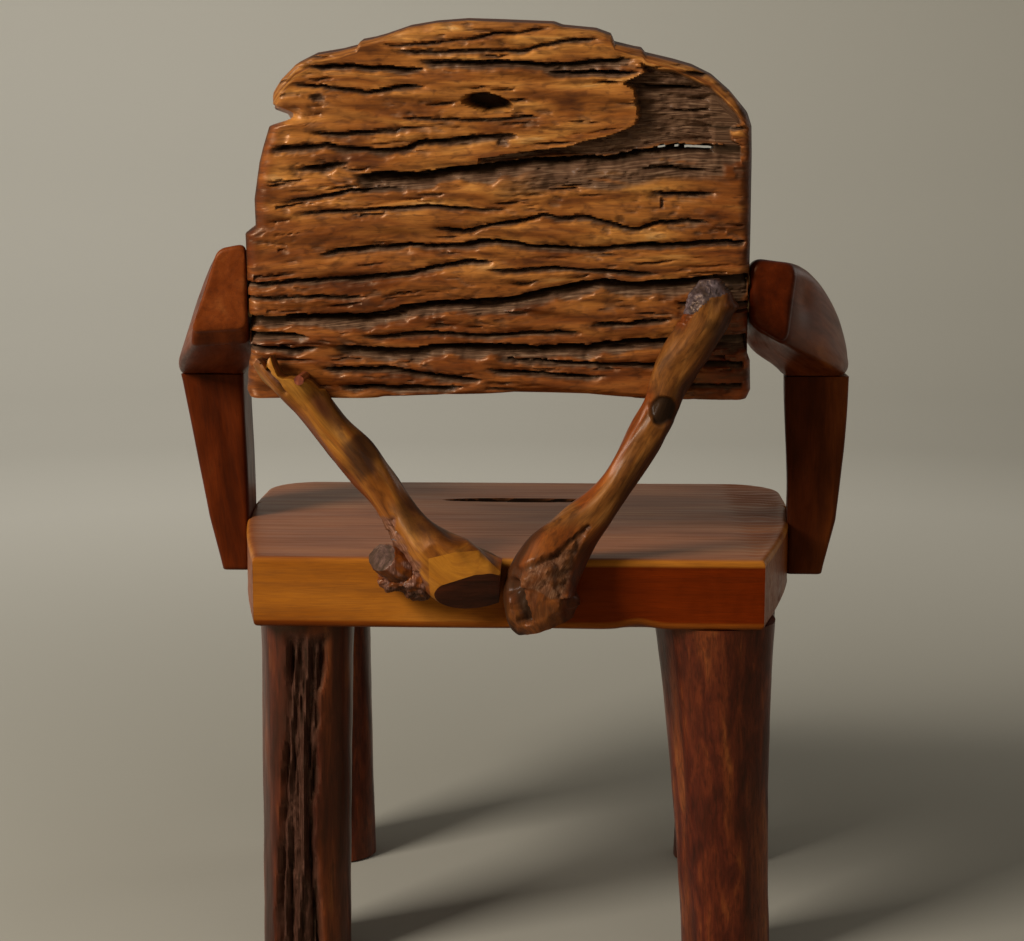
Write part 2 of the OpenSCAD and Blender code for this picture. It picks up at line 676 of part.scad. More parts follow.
// The upper end of the left branch forks into two short prongs.
fork_at = [223, gap_mid_z + 113];
fork_notch = [[0, 0], [5, 40], [-6, 40]];
module prong_fork() {
    translate([fork_at[0], bearing_y(back_z + 40) + 40, fork_at[1]])
        rotate([0, -32, 0])
            rotate([90, 0, 0])
                linear_extrude(80) polygon(fork_notch);
}
// The foot is pared to two faces that meet in one edge: a sawn one turned down, and a facet above it.
foot_edge = [40, seat_rear_y + 53, gap_mid_z - 77];
foot_block = [100, 50, 60];
module pared_face(tilt, turn) {
    translate(foot_edge)
        rotate([tilt, 0, turn])
            translate([33 - foot_block[0], 0, -foot_block[2] / 2]) cube(foot_block);
}
burl_at = [100, seat_rear_y + 20, gap_mid_z - 86];
burl_lean = [6, 0];
burl_size = [23, 25];

module left_strut() {
    color([0.62, 0.36, 0.13])
    difference() {
        union() {
            skin(branch_rings(left_branch, left_strut_girth, 37));
            skin(knob_rings(burl_at, burl_lean, burl_size));
        }
        prong_fork();
        pared_face(-38, -9);
        pared_face(26, -3);
        strut_peg(fit);
        foot_dowel(foot_dowels[0], fit);
    }
}
// Where a twig broke off the right branch, and the hollow that rot left in its foot.
knot_at = [-145, gap_mid_z + 71];
knot_d = 24;
knot_sink = 27;
module twig_knot() {
    translate([knot_at[0], bearing_y(knot_at[1]) + knot_sink, knot_at[1]])
        rotate([-90, 0, 0])
            cylinder(d = knot_d, h = rear_reach);
}
hollow_at = [-36, seat_rear_y + 53, gap_mid_z - 113];
hollow_half_l = 20;
hollow_r = 10;
module foot_hollow() {
    translate(hollow_at)
        rotate([0, 12, 0])
            rotate_extrude()
                polygon([[0, -hollow_half_l], [0.7 * hollow_r, -0.6 * hollow_half_l], [hollow_r, 0],
                    [0.7 * hollow_r, 0.6 * hollow_half_l], [0, hollow_half_l]]);
}

module right_strut() {
    color([0.48, 0.26, 0.11])
    difference() {
        skin(branch_rings(right_branch, right_strut_girth, 53));
        twig_knot();
        foot_hollow();
        strut_dowel(fit);
        foot_dowel(foot_dowels[1], fit);
    }
}

// ---- Legs ----

leg_steps = 11;
foot_taper = 3;
// Angles of a leg's section points, closer together where the weathered hollow is.
even_turns = [for (turn = [0 : 18 : 342]) turn];
hollow_turns = concat([for (turn = [0 : 18 : 54]) turn], [for (turn = [58 : 4 : 122]) turn],
    [for (turn = [126 : 18 : 342]) turn]);
// Grooves and one ridge down the hollow: depth, half width, and place across from the leg's middle
// at the top and at the foot.
leg_grooves = [[5, 3, -22, -6], [5, 3, 13, 24], [-3, 4, -3, 7]];
// Name, centre at the top across and in from the rear, outward lean at the foot, radius at the top
// and at the foot, and depth of the weathered hollow down the leg's rear.
legs = [
    ["rear_left", seat_rear_half - rear_leg_in - 1, rear_leg_set, 5, 47, leg_foot_r - 1, 5],
    ["rear_right", rear_leg_in - seat_rear_half, rear_leg_set, -16, 59, leg_foot_r - 2, 0],
    ["front_left", seat_left_half - front_left_leg_in, front_leg_set, -7, 48, leg_foot_r, 0],
    ["front_right", front_right_leg_in - seat_right_half, front_leg_set, 9, 56, leg_foot_r + 4, 0]
];

// How deep the weather has cut at a distance across from the leg's middle.
function weathered(depth, across, t) =
    let (grooves = [for (g = leg_grooves) g[0] * bell(across, lerp(g[3], g[2], t), g[1])])
    let (basin = smooth(27, 17, abs(across + 2)) * smooth(1, 0.94, t))
    basin * (depth + grooves * [for (g = grooves) 1]);

function leg_ring(leg, t) =
    let (x = leg[1] + leg[3] * (1 - t), y = seat_rear_y - leg[2], z = seat_under_z * t)
    let (r = lerp(leg[5], leg[4], t * t) - (t == 0 ? foot_taper : 0))
    [
        for (turn = leg[6] > 0 ? hollow_turns : even_turns)
        let (hewn = 0.018 * sin(4 * turn + leg[1]) + 0.012 * sin(7 * turn + 160 * t))
        let (is_rear = leg[6] > 0 && turn > 0 && turn < 180)
        let (girth = r * (1 + hewn) - (is_rear ? weathered(leg[6], r * cos(turn), t) : 0))
        [x + girth * cos(turn), y + girth * sin(turn), z]
    ];

// The wedge stands in a tapering kerf, with its wide end against the mortise's floor.
module wedge_body(leg, gap) {
    tip_t = 0.35 * wedge_t;
    high = seat_under_z + tenon_l;
    translate([leg[1], seat_rear_y - leg[2] + tenon_d / 2, high])
        rotate([90, 0, 0])
            linear_extrude(tenon_d)
                polygon([
                    [-wedge_t / 2 - gap, gap * 10], [-tip_t / 2 - gap, -wedge_l - gap * 5],
                    [tip_t / 2 + gap, -wedge_l - gap * 5], [wedge_t / 2 + gap, gap * 10]
                ]);
}
module wedge(leg) {
    intersection() {
        wedge_body(leg, 0);
        translate([leg[1], seat_rear_y - leg[2], seat_under_z])
            cylinder(d = tenon_d, h = tenon_l + 1);
    }
}
module leg(leg) {
    shares = [0, 0.016, for (i = [1 : leg_steps]) lerp(0.016, 1, i / leg_steps)];
    difference() {
        union() {
            skin([for (t = shares) leg_ring(leg, t)]);
            translate([leg[1], seat_rear_y - leg[2], seat_under_z - 10])
                cylinder(d = tenon_d, h = tenon_l + 10);
        }
        wedge_body(leg, fit);
    }
}
module rear_left_leg() {
    color([0.26, 0.10, 0.06]) leg(legs[0]);
}
module rear_right_leg() {
    color([0.33, 0.11, 0.06]) leg(legs[1]);
}
module front_left_leg() {
    color([0.28, 0.10, 0.06]) leg(legs[2]);
}
module front_right_leg() {
    color([0.28, 0.10, 0.06]) leg(legs[3]);
}
module rear_left_wedge() {
    color([0.70, 0.55, 0.35]) wedge(legs[0]);
}
module rear_right_wedge() {
    color([0.70, 0.55, 0.35]) wedge(legs[1]);
}
module front_left_wedge() {
    color([0.70, 0.55, 0.35]) wedge(legs[2]);
}
module front_right_wedge() {
    color([0.70, 0.55, 0.35]) wedge(legs[3]);
}

// ---- Dowels and pegs ----
// Each is drawn at its own size with no gap, and as its hole with the clearance as the gap.

// Arm dowels lie across the chair, this far below the top of the arm's end grain.
function arm_dowel_drops(side) = side == LEFT ? [28, 64] : [20, 44];
module arm_dowel(side, drop, gap) {
    z = arm_top_z(side) - drop;
    over = gap > 0 ? dowel_end_gap : 0;
    from = side * (back_half(side) - dowel_deep - over);
    translate([from, back_mid_y(z), z])
        rotate([0, side * 90, 0])
            cylinder(d = dowel_d + 2 * gap, h = dowel_deep + dowel_short + 2 * over);
}

// Post dowels lie across the chair at mid seat, this far ahead of the post's rear face.
post_dowel_sets = [25, 73];
module post_dowel(side, place, gap) {
    over = gap > 0 ? dowel_end_gap : 0;
    from = side * (housing_x(side, post_set + place) - dowel_deep - over);
    translate([from, post_rear_y - place, (seat_h + seat_under_z) / 2])
        rotate([0, side * 90, 0])
            cylinder(d = dowel_d + 2 * gap, h = dowel_deep + dowel_short + 2 * over);
}

// Strut dowels stand at right angles to the seat's rear face: distance from the middle line and
// depth below the seat's top.
foot_dowels = [[52, 22], [-34, 27]];
foot_dowel_deep = 28;
foot_dowel_short = 20;
module foot_dowel(place, gap) {
    over = gap > 0 ? dowel_end_gap : 0;
    translate([place[0], seat_rear_y - foot_dowel_deep - over, seat_h - place[1]])
        rotate([-90, 0, 0])
            cylinder(d = strut_dowel_d + 2 * gap, h = foot_dowel_deep + foot_dowel_short + 2 * over);
}

strut_dowel_x = -177;
strut_dowel_up = 72;
strut_dowel_deep = 24;
strut_dowel_short = 20;
module strut_dowel(gap) {
    z = back_z + strut_dowel_up;
    over = gap > 0 ? dowel_end_gap : 0;
    translate([strut_dowel_x, back_plane_y(z) - strut_dowel_deep - over, z])
        rotate([-90, 0, 0])
            cylinder(d = strut_dowel_d + 2 * gap, h = strut_dowel_deep + strut_dowel_short + 2 * over);
}

peg_x = 194;
peg_up = 22;
peg_deep = 26;
peg_out = 37;
module strut_peg(gap) {
    z = back_z + peg_up;
    over = gap > 0 ? dowel_end_gap : 0;
    translate([peg_x, back_plane_y(z) - peg_deep - over, z])
        rotate([-90, 0, 0])
            cylinder(d = peg_d + 2 * gap, h = peg_deep + peg_out + 2 * over);
}

back_slab();
seat_slab();
left_arm();
right_arm();
left_arm_post();
right_arm_post();
left_strut();
right_strut();
rear_left_leg();
rear_right_leg();
front_left_leg();
front_right_leg();
rear_left_wedge();
rear_right_wedge();
front_left_wedge();
front_right_wedge();
color([0.72, 0.58, 0.38]) arm_dowel(LEFT, arm_dowel_drops(LEFT)[0], 0);  // left_arm_upper_dowel
color([0.72, 0.58, 0.38]) arm_dowel(LEFT, arm_dowel_drops(LEFT)[1], 0);  // left_arm_lower_dowel
color([0.72, 0.58, 0.38]) arm_dowel(RIGHT, arm_dowel_drops(RIGHT)[0], 0);  // right_arm_upper_dowel
color([0.72, 0.58, 0.38]) arm_dowel(RIGHT, arm_dowel_drops(RIGHT)[1], 0);  // right_arm_lower_dowel
color([0.72, 0.58, 0.38]) post_dowel(LEFT, post_dowel_sets[0], 0);  // left_post_rear_dowel
color([0.72, 0.58, 0.38]) post_dowel(LEFT, post_dowel_sets[1], 0);  // left_post_front_dowel
color([0.72, 0.58, 0.38]) post_dowel(RIGHT, post_dowel_sets[0], 0);  // right_post_rear_dowel
color([0.72, 0.58, 0.38]) post_dowel(RIGHT, post_dowel_sets[1], 0);  // right_post_front_dowel
color([0.42, 0.16, 0.08]) strut_peg(0);  // left_strut_peg
color([0.72, 0.58, 0.38]) strut_dowel(0);  // right_strut_dowel
color([0.72, 0.58, 0.38]) foot_dowel(foot_dowels[0], 0);  // left_foot_dowel
color([0.72, 0.58, 0.38]) foot_dowel(foot_dowels[1], 0);  // right_foot_dowel
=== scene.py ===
# %% [markdown]
# # A rustic log armchair
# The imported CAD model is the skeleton: it says where each piece of wood is and how large. Here each
# large piece is carved again from a finer mesh and gets a wood finish of its own, while the hidden
# joinery keeps its CAD shape. A mesh starts from a few points, a circle, a grid or an icosphere that
# bmesh operators pull into a body; then its points are moved the way a carver would cut. Lengths are
# worked out in millimetres and stored in metres.

# %% Load the frame
import math
import random

import bmesh
import bpy
from mathutils import Matrix, Vector, noise


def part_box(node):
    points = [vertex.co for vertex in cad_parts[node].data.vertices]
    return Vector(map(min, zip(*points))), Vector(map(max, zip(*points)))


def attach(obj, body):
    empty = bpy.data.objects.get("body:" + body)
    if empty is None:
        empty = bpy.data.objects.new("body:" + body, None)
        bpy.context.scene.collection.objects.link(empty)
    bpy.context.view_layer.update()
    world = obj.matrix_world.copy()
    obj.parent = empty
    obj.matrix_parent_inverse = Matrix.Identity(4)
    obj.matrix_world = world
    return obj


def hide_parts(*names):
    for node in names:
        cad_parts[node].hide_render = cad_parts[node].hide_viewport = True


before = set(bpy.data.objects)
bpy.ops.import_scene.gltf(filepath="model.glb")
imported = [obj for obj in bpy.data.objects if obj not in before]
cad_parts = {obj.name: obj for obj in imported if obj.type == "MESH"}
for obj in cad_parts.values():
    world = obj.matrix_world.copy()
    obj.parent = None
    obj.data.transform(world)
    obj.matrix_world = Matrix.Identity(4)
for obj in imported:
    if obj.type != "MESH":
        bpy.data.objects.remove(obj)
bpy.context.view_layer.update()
MM = 0.001
LEFT, RIGHT = 1, -1

# %% [markdown]
# ## Camera
# The chair is seen from behind, from a little above the arms, with a moderate telephoto lens, so that
# its legs stand nearly parallel. A camera's own -Z axis is its line of sight, so the aim is turned
# into a rotation with to_track_quat.

# %% Camera
camera_data = bpy.data.cameras.new("camera")
camera_data.lens = 69.56
camera_data.sensor_width = 36
camera = bpy.data.objects.new("camera", camera_data)
bpy.context.collection.objects.link(camera)
camera.location = (-0.074, 2.05, 0.793)
yaw = math.radians(2.16)
pitch = math.radians(8.85)
aim = Vector((math.sin(yaw) * math.cos(pitch), -math.cos(yaw) * math.cos(pitch), -math.sin(pitch)))
camera.rotation_euler = aim.to_track_quat("-Z", "Y").to_euler()
bpy.context.scene.camera = camera
bpy.context.scene.view_settings.view_transform = "Standard"
print("camera looks along", [round(c, 3) for c in aim])

# %% [markdown]
# ## Small helpers
# Easing curves, a table that is read between its rows, and noise that always gives the same wood.

# %% Helpers for shapes
def mix(a, b, t):
    return a + (b - a) * t


def clamp(x):
    return max(0.0, min(1.0, x))


def smooth(a, b, x):
    """0 at a, 1 at b and soft at both ends."""
    t = clamp((x - a) / (b - a))
    return t * t * (3 - 2 * t)


def bell(x, centre, width):
    return math.exp(-(((x - centre) / width) ** 2))


def lookup(rows, x):
    """Value at x in a table of (x, value) rows with x rising."""
    if x <= rows[0][0]:
        return rows[0][1]
    for (x0, y0), (x1, y1) in zip(rows, rows[1:]):
        if x <= x1:
            return mix(y0, y1, (x - x0) / (x1 - x0)) if x1 > x0 else y1
    return rows[-1][1]


def wobble(seed, *place):
    """Smooth noise from -1 to 1. The place is given in wavelengths, and each seed is another wood."""
    x, y, z = (list(place) + [0, 0])[:3]
    return noise.noise(Vector((x + 17.3 * seed, y - 9.1 * seed, z + 4.7 * seed)))


def spline(rows, t):
    """Point on a smooth curve through all rows, at a share t of its length in rows."""
    last = len(rows) - 1
    i = min(last - 1, int(t * last))
    f = t * last - i
    a, b, c, d = (Vector(rows[max(0, min(last, j))]) for j in (i - 1, i, i + 1, i + 2))
    return b + f / 2 * ((c - a) + f * ((2 * a - 5 * b + 4 * c - d) + f * (3 * b - a - 3 * c + d)))


# %% [markdown]
# ## Finishing a piece
# Each mesh ends the same way: faces point outwards, edges sharper than a chamfer stay crisp, the
# object keeps its origin at zero, hangs from the root empty, and its CAD node is hidden.

# %% Turn a bmesh into a piece of the chair
SHARP = math.radians(42)


def as_object(bm, name, sharp=math.pi):
    """Turns a bmesh into an object. Edges are soft unless their faces meet at a sharper angle."""
    bmesh.ops.recalc_face_normals(bm, faces=bm.faces[:])
    for face in bm.faces:
        face.smooth = True
    for edge in bm.edges:
        edge.smooth = not (edge.is_manifold and edge.calc_face_angle(0) > sharp)
    mesh = bpy.data.meshes.new(name)
    bm.to_mesh(mesh)
    bm.free()
    made = bpy.data.objects.new(name, mesh)
    bpy.context.collection.objects.link(made)
    return made


def finish_piece(bm, name, slot, *materials):
    """Makes a bmesh the piece that stands for the CAD node of the same name without _wood."""
    piece = as_object(bm, name, SHARP)
    mesh = piece.data
    for material in materials:
        mesh.materials.append(material)
    node = name.removesuffix("_wood")
    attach(piece, "root")
    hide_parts(node)
    low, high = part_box(node)
    mine = [[f([v.co[a] for v in mesh.vertices]) / MM for a in range(3)] for f in (min, max)]
    past = max(max(low[a] / MM - mine[0][a], mine[1][a] - high[a] / MM) for a in range(3))
    print(name, len(mesh.polygons), "faces, at most", round(past, 1), "mm outside its node's box")


# %% Move the points of a raw grid to where the carver wants them
# Dark and deep carry painted shade on some pieces, as well as dark knots, dirt and darker wood.
MARKS = ("raw", "dark", "margin", "deep")


def pull(bm, steps, way):
    """Draws all there is straight on along an axis, a step at a time: a spin with no turn."""
    bmesh.ops.spin(bm, geom=bm.verts[:] + bm.edges[:], angle=0, steps=steps, dvec=way,
                   cent=(0, 0, 0), axis=way)


def carve(bm, place):
    """Moves each point to where place(x, y, z) puts it. Place gives the point and its place in the
    grain, both in mm, and its marks for the finish. A mark that it doesn't give is 0."""
    marks = {key: bm.verts.layers.float.new(key) for key in MARKS}
    grain = bm.verts.layers.float_vector.new("grain")
    for vert in bm.verts:
        point, in_grain, given = place(*vert.co)
        vert[grain] = Vector(in_grain) * MM
        for key, value in given.items():
            vert[marks[key]] = value
        vert.co = Vector(point) * MM


# %% A bar: a circle pulled straight up, closed at both ends by rings that shrink to the middle
END_RINGS = 9


def bar(sides, steps, place):
    """Each point goes where place(turn, run, inward) puts it, in mm. Turn and run go from 0 to 1, and
    inward is 0 on the side of the bar and rises to 1 at the middle of an end. Place gives the point,
    the middle of its ring, the length along the bar, and the marks."""
    bm = bmesh.new()
    bmesh.ops.create_circle(bm, segments=sides, radius=1)
    pull(bm, steps + 2 * END_RINGS, (0, 0, 1))
    bmesh.ops.holes_fill(bm, edges=[e for e in bm.edges if e.is_boundary])

    def on_bar(x, y, z):
        turn = round(math.atan2(y, x) / math.tau * sides) % sides / sides
        row = round(z)
        run = clamp((row - END_RINGS) / steps)
        past_end = max(END_RINGS - row, row - END_RINGS - steps, 0) / END_RINGS
        point, middle, along, marks = place(turn, run, 0.97 * past_end ** 1.8)
        over = point[1] - middle[1] + point[2] - middle[2]
        return point, (point[0] - middle[0], over, along), marks

    carve(bm, on_bar)
    return bm


# %% [markdown]
# ## Materials
# Wood is layers: a slow figure of lighter and darker bands, streaks a few millimetres wide, and
# fibres finer than a millimetre that also roughen the surface. All noises are stretched along the
# grain. Raw, weathered wood lies in the checks, and an attribute on the mesh says how raw it is.

# %% Helpers for materials
AS_COLOUR = {"out": 2, "data_type": "RGBA"}  # a Mix node for colours, which are its inputs 6 and 7


def linear(hex_colour):
    """sRGB hex to the linear colour that a shader works with."""
    parts = [int(hex_colour[i:i + 2], 16) / 255 for i in (1, 3, 5)]
    return [c / 12.92 if c <= 0.04045 else ((c + 0.055) / 1.055) ** 2.4 for c in parts] + [1.0]


def feed(tree, node, inputs):
    """Gives a node its inputs: numbers, hex colours, or sockets to link from."""
    for key, value in inputs.items():
        if isinstance(value, bpy.types.NodeSocket):
            tree.links.new(value, node.inputs[key])
        else:
            node.inputs[key].default_value = linear(value) if isinstance(value, str) else value


def add(tree, kind, inputs=(), stops=(), out=0, **settings):
    """Adds a node with its settings and gives one of its outputs. Inputs are a list in the node's
    own order, or a table of some of them. Stops are the places and colours of a ramp."""
    node = tree.nodes.new("ShaderNode" + kind)
    for key, value in settings.items():
        setattr(node, key, value)
    feed(tree, node, inputs if isinstance(inputs, dict) else dict(enumerate(inputs)))
    if stops:
        ramp = node.color_ramp.elements
        while len(ramp) < len(stops):
            ramp.new(0.5)
        for element, (position, colour) in zip(ramp, stops):
            element.position = position
            element.color = linear(colour)
    return node.outputs[out] if len(node.outputs) else node


def new_material(name):
    material = bpy.data.materials.new(name)
    material.use_nodes = True
    tree = material.node_tree
    tree.nodes.clear()
    surface = add(tree, "BsdfPrincipled")
    add(tree, "OutputMaterial", [surface])
    return material, tree, surface.node


def grain_noise(tree, place, across_mm, along_mm, axis, detail=3.0, twist=0.0):
    """Noise whose cells are across_mm wide and along_mm long on the real wood."""
    size = [1 / (across_mm * MM)] * 3
    size[axis] = 1 / (along_mm * MM)
    mapped = add(tree, "Mapping", {"Vector": place, "Scale": size})
    return add(tree, "TexNoise", {"Vector": mapped, "Scale": 1.0, "Detail": detail,
                                  "Distortion": twist})


# %% One recipe for all the carved woods
STAIN_AND_PAINTED_SHADE = "#A0613F"  # a darker, redder tone, multiplied in where the mark deep lies; in places that mark is painted shade
# Near black, mixed in where the mark dark lies: painted shade in checks, holes and creases and on
# shaded edges, and dark knots.
DARK_WOOD_AND_PAINTED_SHADE = "#120804"
SHEEN = "#FFC894"
WOOD_IOR = 1.5
FIBRE_MM = (0.8, 22)
SPLINTER_MM = (1.3, 30)


def wood(name, tones, streak, axis=2, margin=None, raw=None, figure_mm=(26, 260),
         streak_mm=(4.5, 120), spot_mm=(7, 18), spotty=0.3, gloss=0.34, shine=0.35, coat=0.08,
         bump=0.35, streaky=0.65):
    """Oiled wood. Tones are ramp stops for the slow figure, streak is the colour of the dark lines,
    and margin and raw are ramps for the places that the mesh marks with an attribute of that name."""
    material, tree, shader = new_material(name)
    place = add(tree, "Attribute", out="Vector", attribute_name="grain")
    slow = grain_noise(tree, place, *figure_mm, axis, 4.0, 0.5)
    streaks = grain_noise(tree, place, *streak_mm, axis, 3.0, 0.3)
    fibres = grain_noise(tree, place, *FIBRE_MM, axis, 2.0)
    spots = grain_noise(tree, place, *spot_mm, axis, 5.0, 0.6)
    figure = add(tree, "MapRange", [slow, 0.28, 0.72])
    colour = add(tree, "ValToRGB", [figure], tones)
    rough = add(tree, "MapRange", [streaks, 0.3, 0.8, gloss - 0.05, gloss + 0.12])
    height = 0.0
    if margin:
        at_margin = add(tree, "Attribute", out="Fac", attribute_name="margin")
        redder = add(tree, "ValToRGB", [figure], margin)
        colour = add(tree, "Mix", {0: at_margin, 6: colour, 7: redder}, **AS_COLOUR)
    # Each pattern darkens the wood from one noise value up to another, and gives it some height.
    patterns = ((streaks, 0.5, 0.78, streaky, 0.6), (fibres, 0.35, 0.75, 0.35, 0.25),
                (spots, 0.5, 0.68, spotty, 2 * spotty))
    for pattern, start, full, strength, relief in patterns:
        stain = add(tree, "MapRange", [pattern, start, full, 0.0, strength])
        colour = add(tree, "Mix", {0: stain, 6: colour, 7: streak}, **AS_COLOUR)
        height = add(tree, "Math", [pattern, relief, height], operation="MULTIPLY_ADD")
    # Deep darkens and reddens the wood: partly its own darker tone, partly painted shade.
    deep = add(tree, "Attribute", out="Fac", attribute_name="deep")
    colour = add(tree, "Mix", {0: deep, 6: colour, 7: STAIN_AND_PAINTED_SHADE}, **AS_COLOUR,
                 blend_type="MULTIPLY")
    if raw:
        bare = add(tree, "Attribute", out="Fac", attribute_name="raw")
        splinters = grain_noise(tree, place, *SPLINTER_MM, axis, 5.0, 0.4)
        tone = add(tree, "MapRange", [splinters, 0.25, 0.75])
        bare_colour = add(tree, "ValToRGB", [tone], raw)
        colour = add(tree, "Mix", {0: bare, 6: colour, 7: bare_colour}, **AS_COLOUR)
        rough = add(tree, "MapRange", [bare, 0.0, 1.0, rough, 0.72])
        height = add(tree, "Math", [splinters, bare, height], operation="MULTIPLY_ADD")
    # Dark paints shade into checks, holes and creases and onto shaded edges and sides, and also
    # darkens knots.
    dark = add(tree, "Attribute", out="Fac", attribute_name="dark")
    feed(tree, shader, {
        "Base Color": add(tree, "Mix", {0: dark, 6: colour, 7: DARK_WOOD_AND_PAINTED_SHADE}, **AS_COLOUR),
        "Roughness": add(tree, "MapRange", [dark, 0.0, 0.8, rough, 0.7]),
        "Normal": add(tree, "Bump", {"Height": height, "Strength": bump, "Distance": 0.6 * MM}),
        "IOR": WOOD_IOR, "Specular IOR Level": shine, "Specular Tint": SHEEN,
        "Coat Weight": coat, "Coat Roughness": 0.2})
    return material


# %% [markdown]
# ## Studio
# A pale paper sweep all round the chair: a profile spun once about the middle. One large soft box
# stands high to the camera's left. Two weak ones fill the shadows, one lights the paper behind the
# chair, and the room gives the rest.

# %% Floor and lights
# Profile of the sweep in metres: distance from the middle, and height.
SWEEP = [(0.0, 0.0), (1.6, 0.0), (3.6, 0.0), (4.2, 0.08), (4.7, 0.32), (5.05, 0.75), (5.2, 1.4),
         (5.2, 2.2)]


def studio():
    bm = bmesh.new()
    verts = [bm.verts.new((r, 0, z)) for r, z in SWEEP]
    for a, b in zip(verts, verts[1:]):
        bm.edges.new((a, b))
    bmesh.ops.spin(bm, geom=bm.verts[:] + bm.edges[:], angle=math.tau, steps=96, use_merge=True,
                   cent=(0, 0, 0), axis=(0, 0, 1))
    bmesh.ops.remove_doubles(bm, verts=bm.verts[:], dist=1e-4)
    floor = as_object(bm, "floor")
    material, tree, shader = new_material("paper sweep, matt")
    place = add(tree, "TexCoord", out="Object")
    # The paper's colour is painted light: lighter far out and toward the key's side (+X), darker
    # close to the chair and toward -X.
    across = add(tree, "MapRange", [add(tree, "SeparateXYZ", [place]), -2.0, 2.0])
    distance = add(tree, "VectorMath", [place], out="Value", operation="LENGTH")
    away = add(tree, "MapRange", [distance, 0.5, 2.6])
    near = add(tree, "Mix", {0: across, 6: "#8E887A", 7: "#A49F92"}, **AS_COLOUR)
    far = add(tree, "Mix", {0: across, 6: "#A8A396", 7: "#BFBBB0"}, **AS_COLOUR)
    paper = add(tree, "Mix", {0: away, 6: near, 7: far}, **AS_COLOUR)
    feed(tree, shader, {"Base Color": paper, "Roughness": 0.9, "Specular IOR Level": 0.1})
    floor.data.materials.append(material)


def soft_box(name, place, target, size, watts, tint):
    light = bpy.data.lights.new(name, "AREA")
    light.shape = "RECTANGLE"
    light.size = size[0]
    light.size_y = size[1]
    light.energy = watts
    light.color = tint
    lamp = bpy.data.objects.new(name, light)
    bpy.context.collection.objects.link(lamp)
    lamp.visible_camera = False
    lamp.location = place
    lamp.rotation_euler = (Vector(target) - Vector(place)).to_track_quat("-Z", "Y").to_euler()


studio()
soft_box("key", (2.1, 1.7, 2.0), (0, 0, 0.6), (1.1, 1.1), 112, (1.0, 0.96, 0.9))
soft_box("fill", (-2.0, 2.8, 1.4), (0, 0, 0.5), (1.2, 1.2), 5, (0.97, 0.98, 1.0))
soft_box("wall lamp", (0.6, -1.7, 2.9), (0.9, -5.2, 0.9), (2.4, 0.8), 60, (1.0, 0.98, 0.95))
soft_box("front lamp", (-2.6, -1.6, 1.3), (0, 0, 0.5), (1.4, 1.4), 9, (1.0, 0.98, 0.95))
world = bpy.data.worlds.new("room")
bpy.context.scene.world = world
world.use_nodes = True
feed(world.node_tree, world.node_tree.nodes["Background"], {"Color": "#E9E6DF", "Strength": 0.22})
print("lamps and floor are up")

# %% [markdown]
# ## The back slab
# The back is one old slab, split by weather along its grain and then polished, so that the ridges
# shine and the checks between them stay raw. Its section, a tall thin rectangle, is subdivided and
# spun straight across the chair. Each check is a line along the grain: above it stands the sharp
# lip of one ridge, and below it the next ridge climbs slowly out of the dark.

# %% Sizes of the back slab
# The slab is drawn upright, up its own slope from its lower edge, and leans back when it is carved.
SEAT_REAR_Y = 200.0
SEAT_H = 420.0
BACK_Y = SEAT_REAR_Y - 18
BACK_Z = SEAT_H + 150
BACK_T = 48.0
BACK_HALF = {LEFT: 247.0, RIGHT: 226.0}
DRAWN_H = 355.0
BACK_FIT = 353 / DRAWN_H
LEAN = math.radians(8)
# Top and lower edge: across and up. Sides and break line: up and across, counted from the half
# width at the sides. The polished skin breaks off over the weathered field at the break line.
TOP_EDGE = [(-216, 270), (-201, 288), (-184, 303), (-166, 312), (-149, 317), (-124, 323),
            (-120.5, 327.5), (-114, 328.5), (-104, 331), (-96, 333), (-93.5, 340), (-80, 345),
            (-50, 348), (-42, 351), (5, 353), (35, 354), (63, 352), (87, 348), (109, 340.5),
            (120, 337.5), (131, 335.5), (133.5, 331), (149, 327), (173, 323), (189, 315),
            (203, 301), (212, 288)]
LOW_EDGE = [(-226, -2), (-214, -4), (-129, -1), (-79, 4), (-17, 5), (27, 3), (94, 1), (114, -3),
            (238, -5), (250, -2)]
LEFT_EDGE = [(0, 2), (6, 5), (33, 2), (42, 0), (158, 0), (164, -10), (190, -10), (224, -16),
             (238, -20), (256, -26), (270, -28), (280, -31)]
RIGHT_EDGE = [(0, 1), (8, 4), (36, 3), (42, 0), (156, 0), (234, -1), (258, -2), (270, -6)]
BREAK_LINE = [(229, 26), (234, -10), (241, -60), (246, -73), (251, -98), (257, -111), (262, -120),
              (275, -120), (294, -115), (298, -109), (308, -126), (322, -122)]

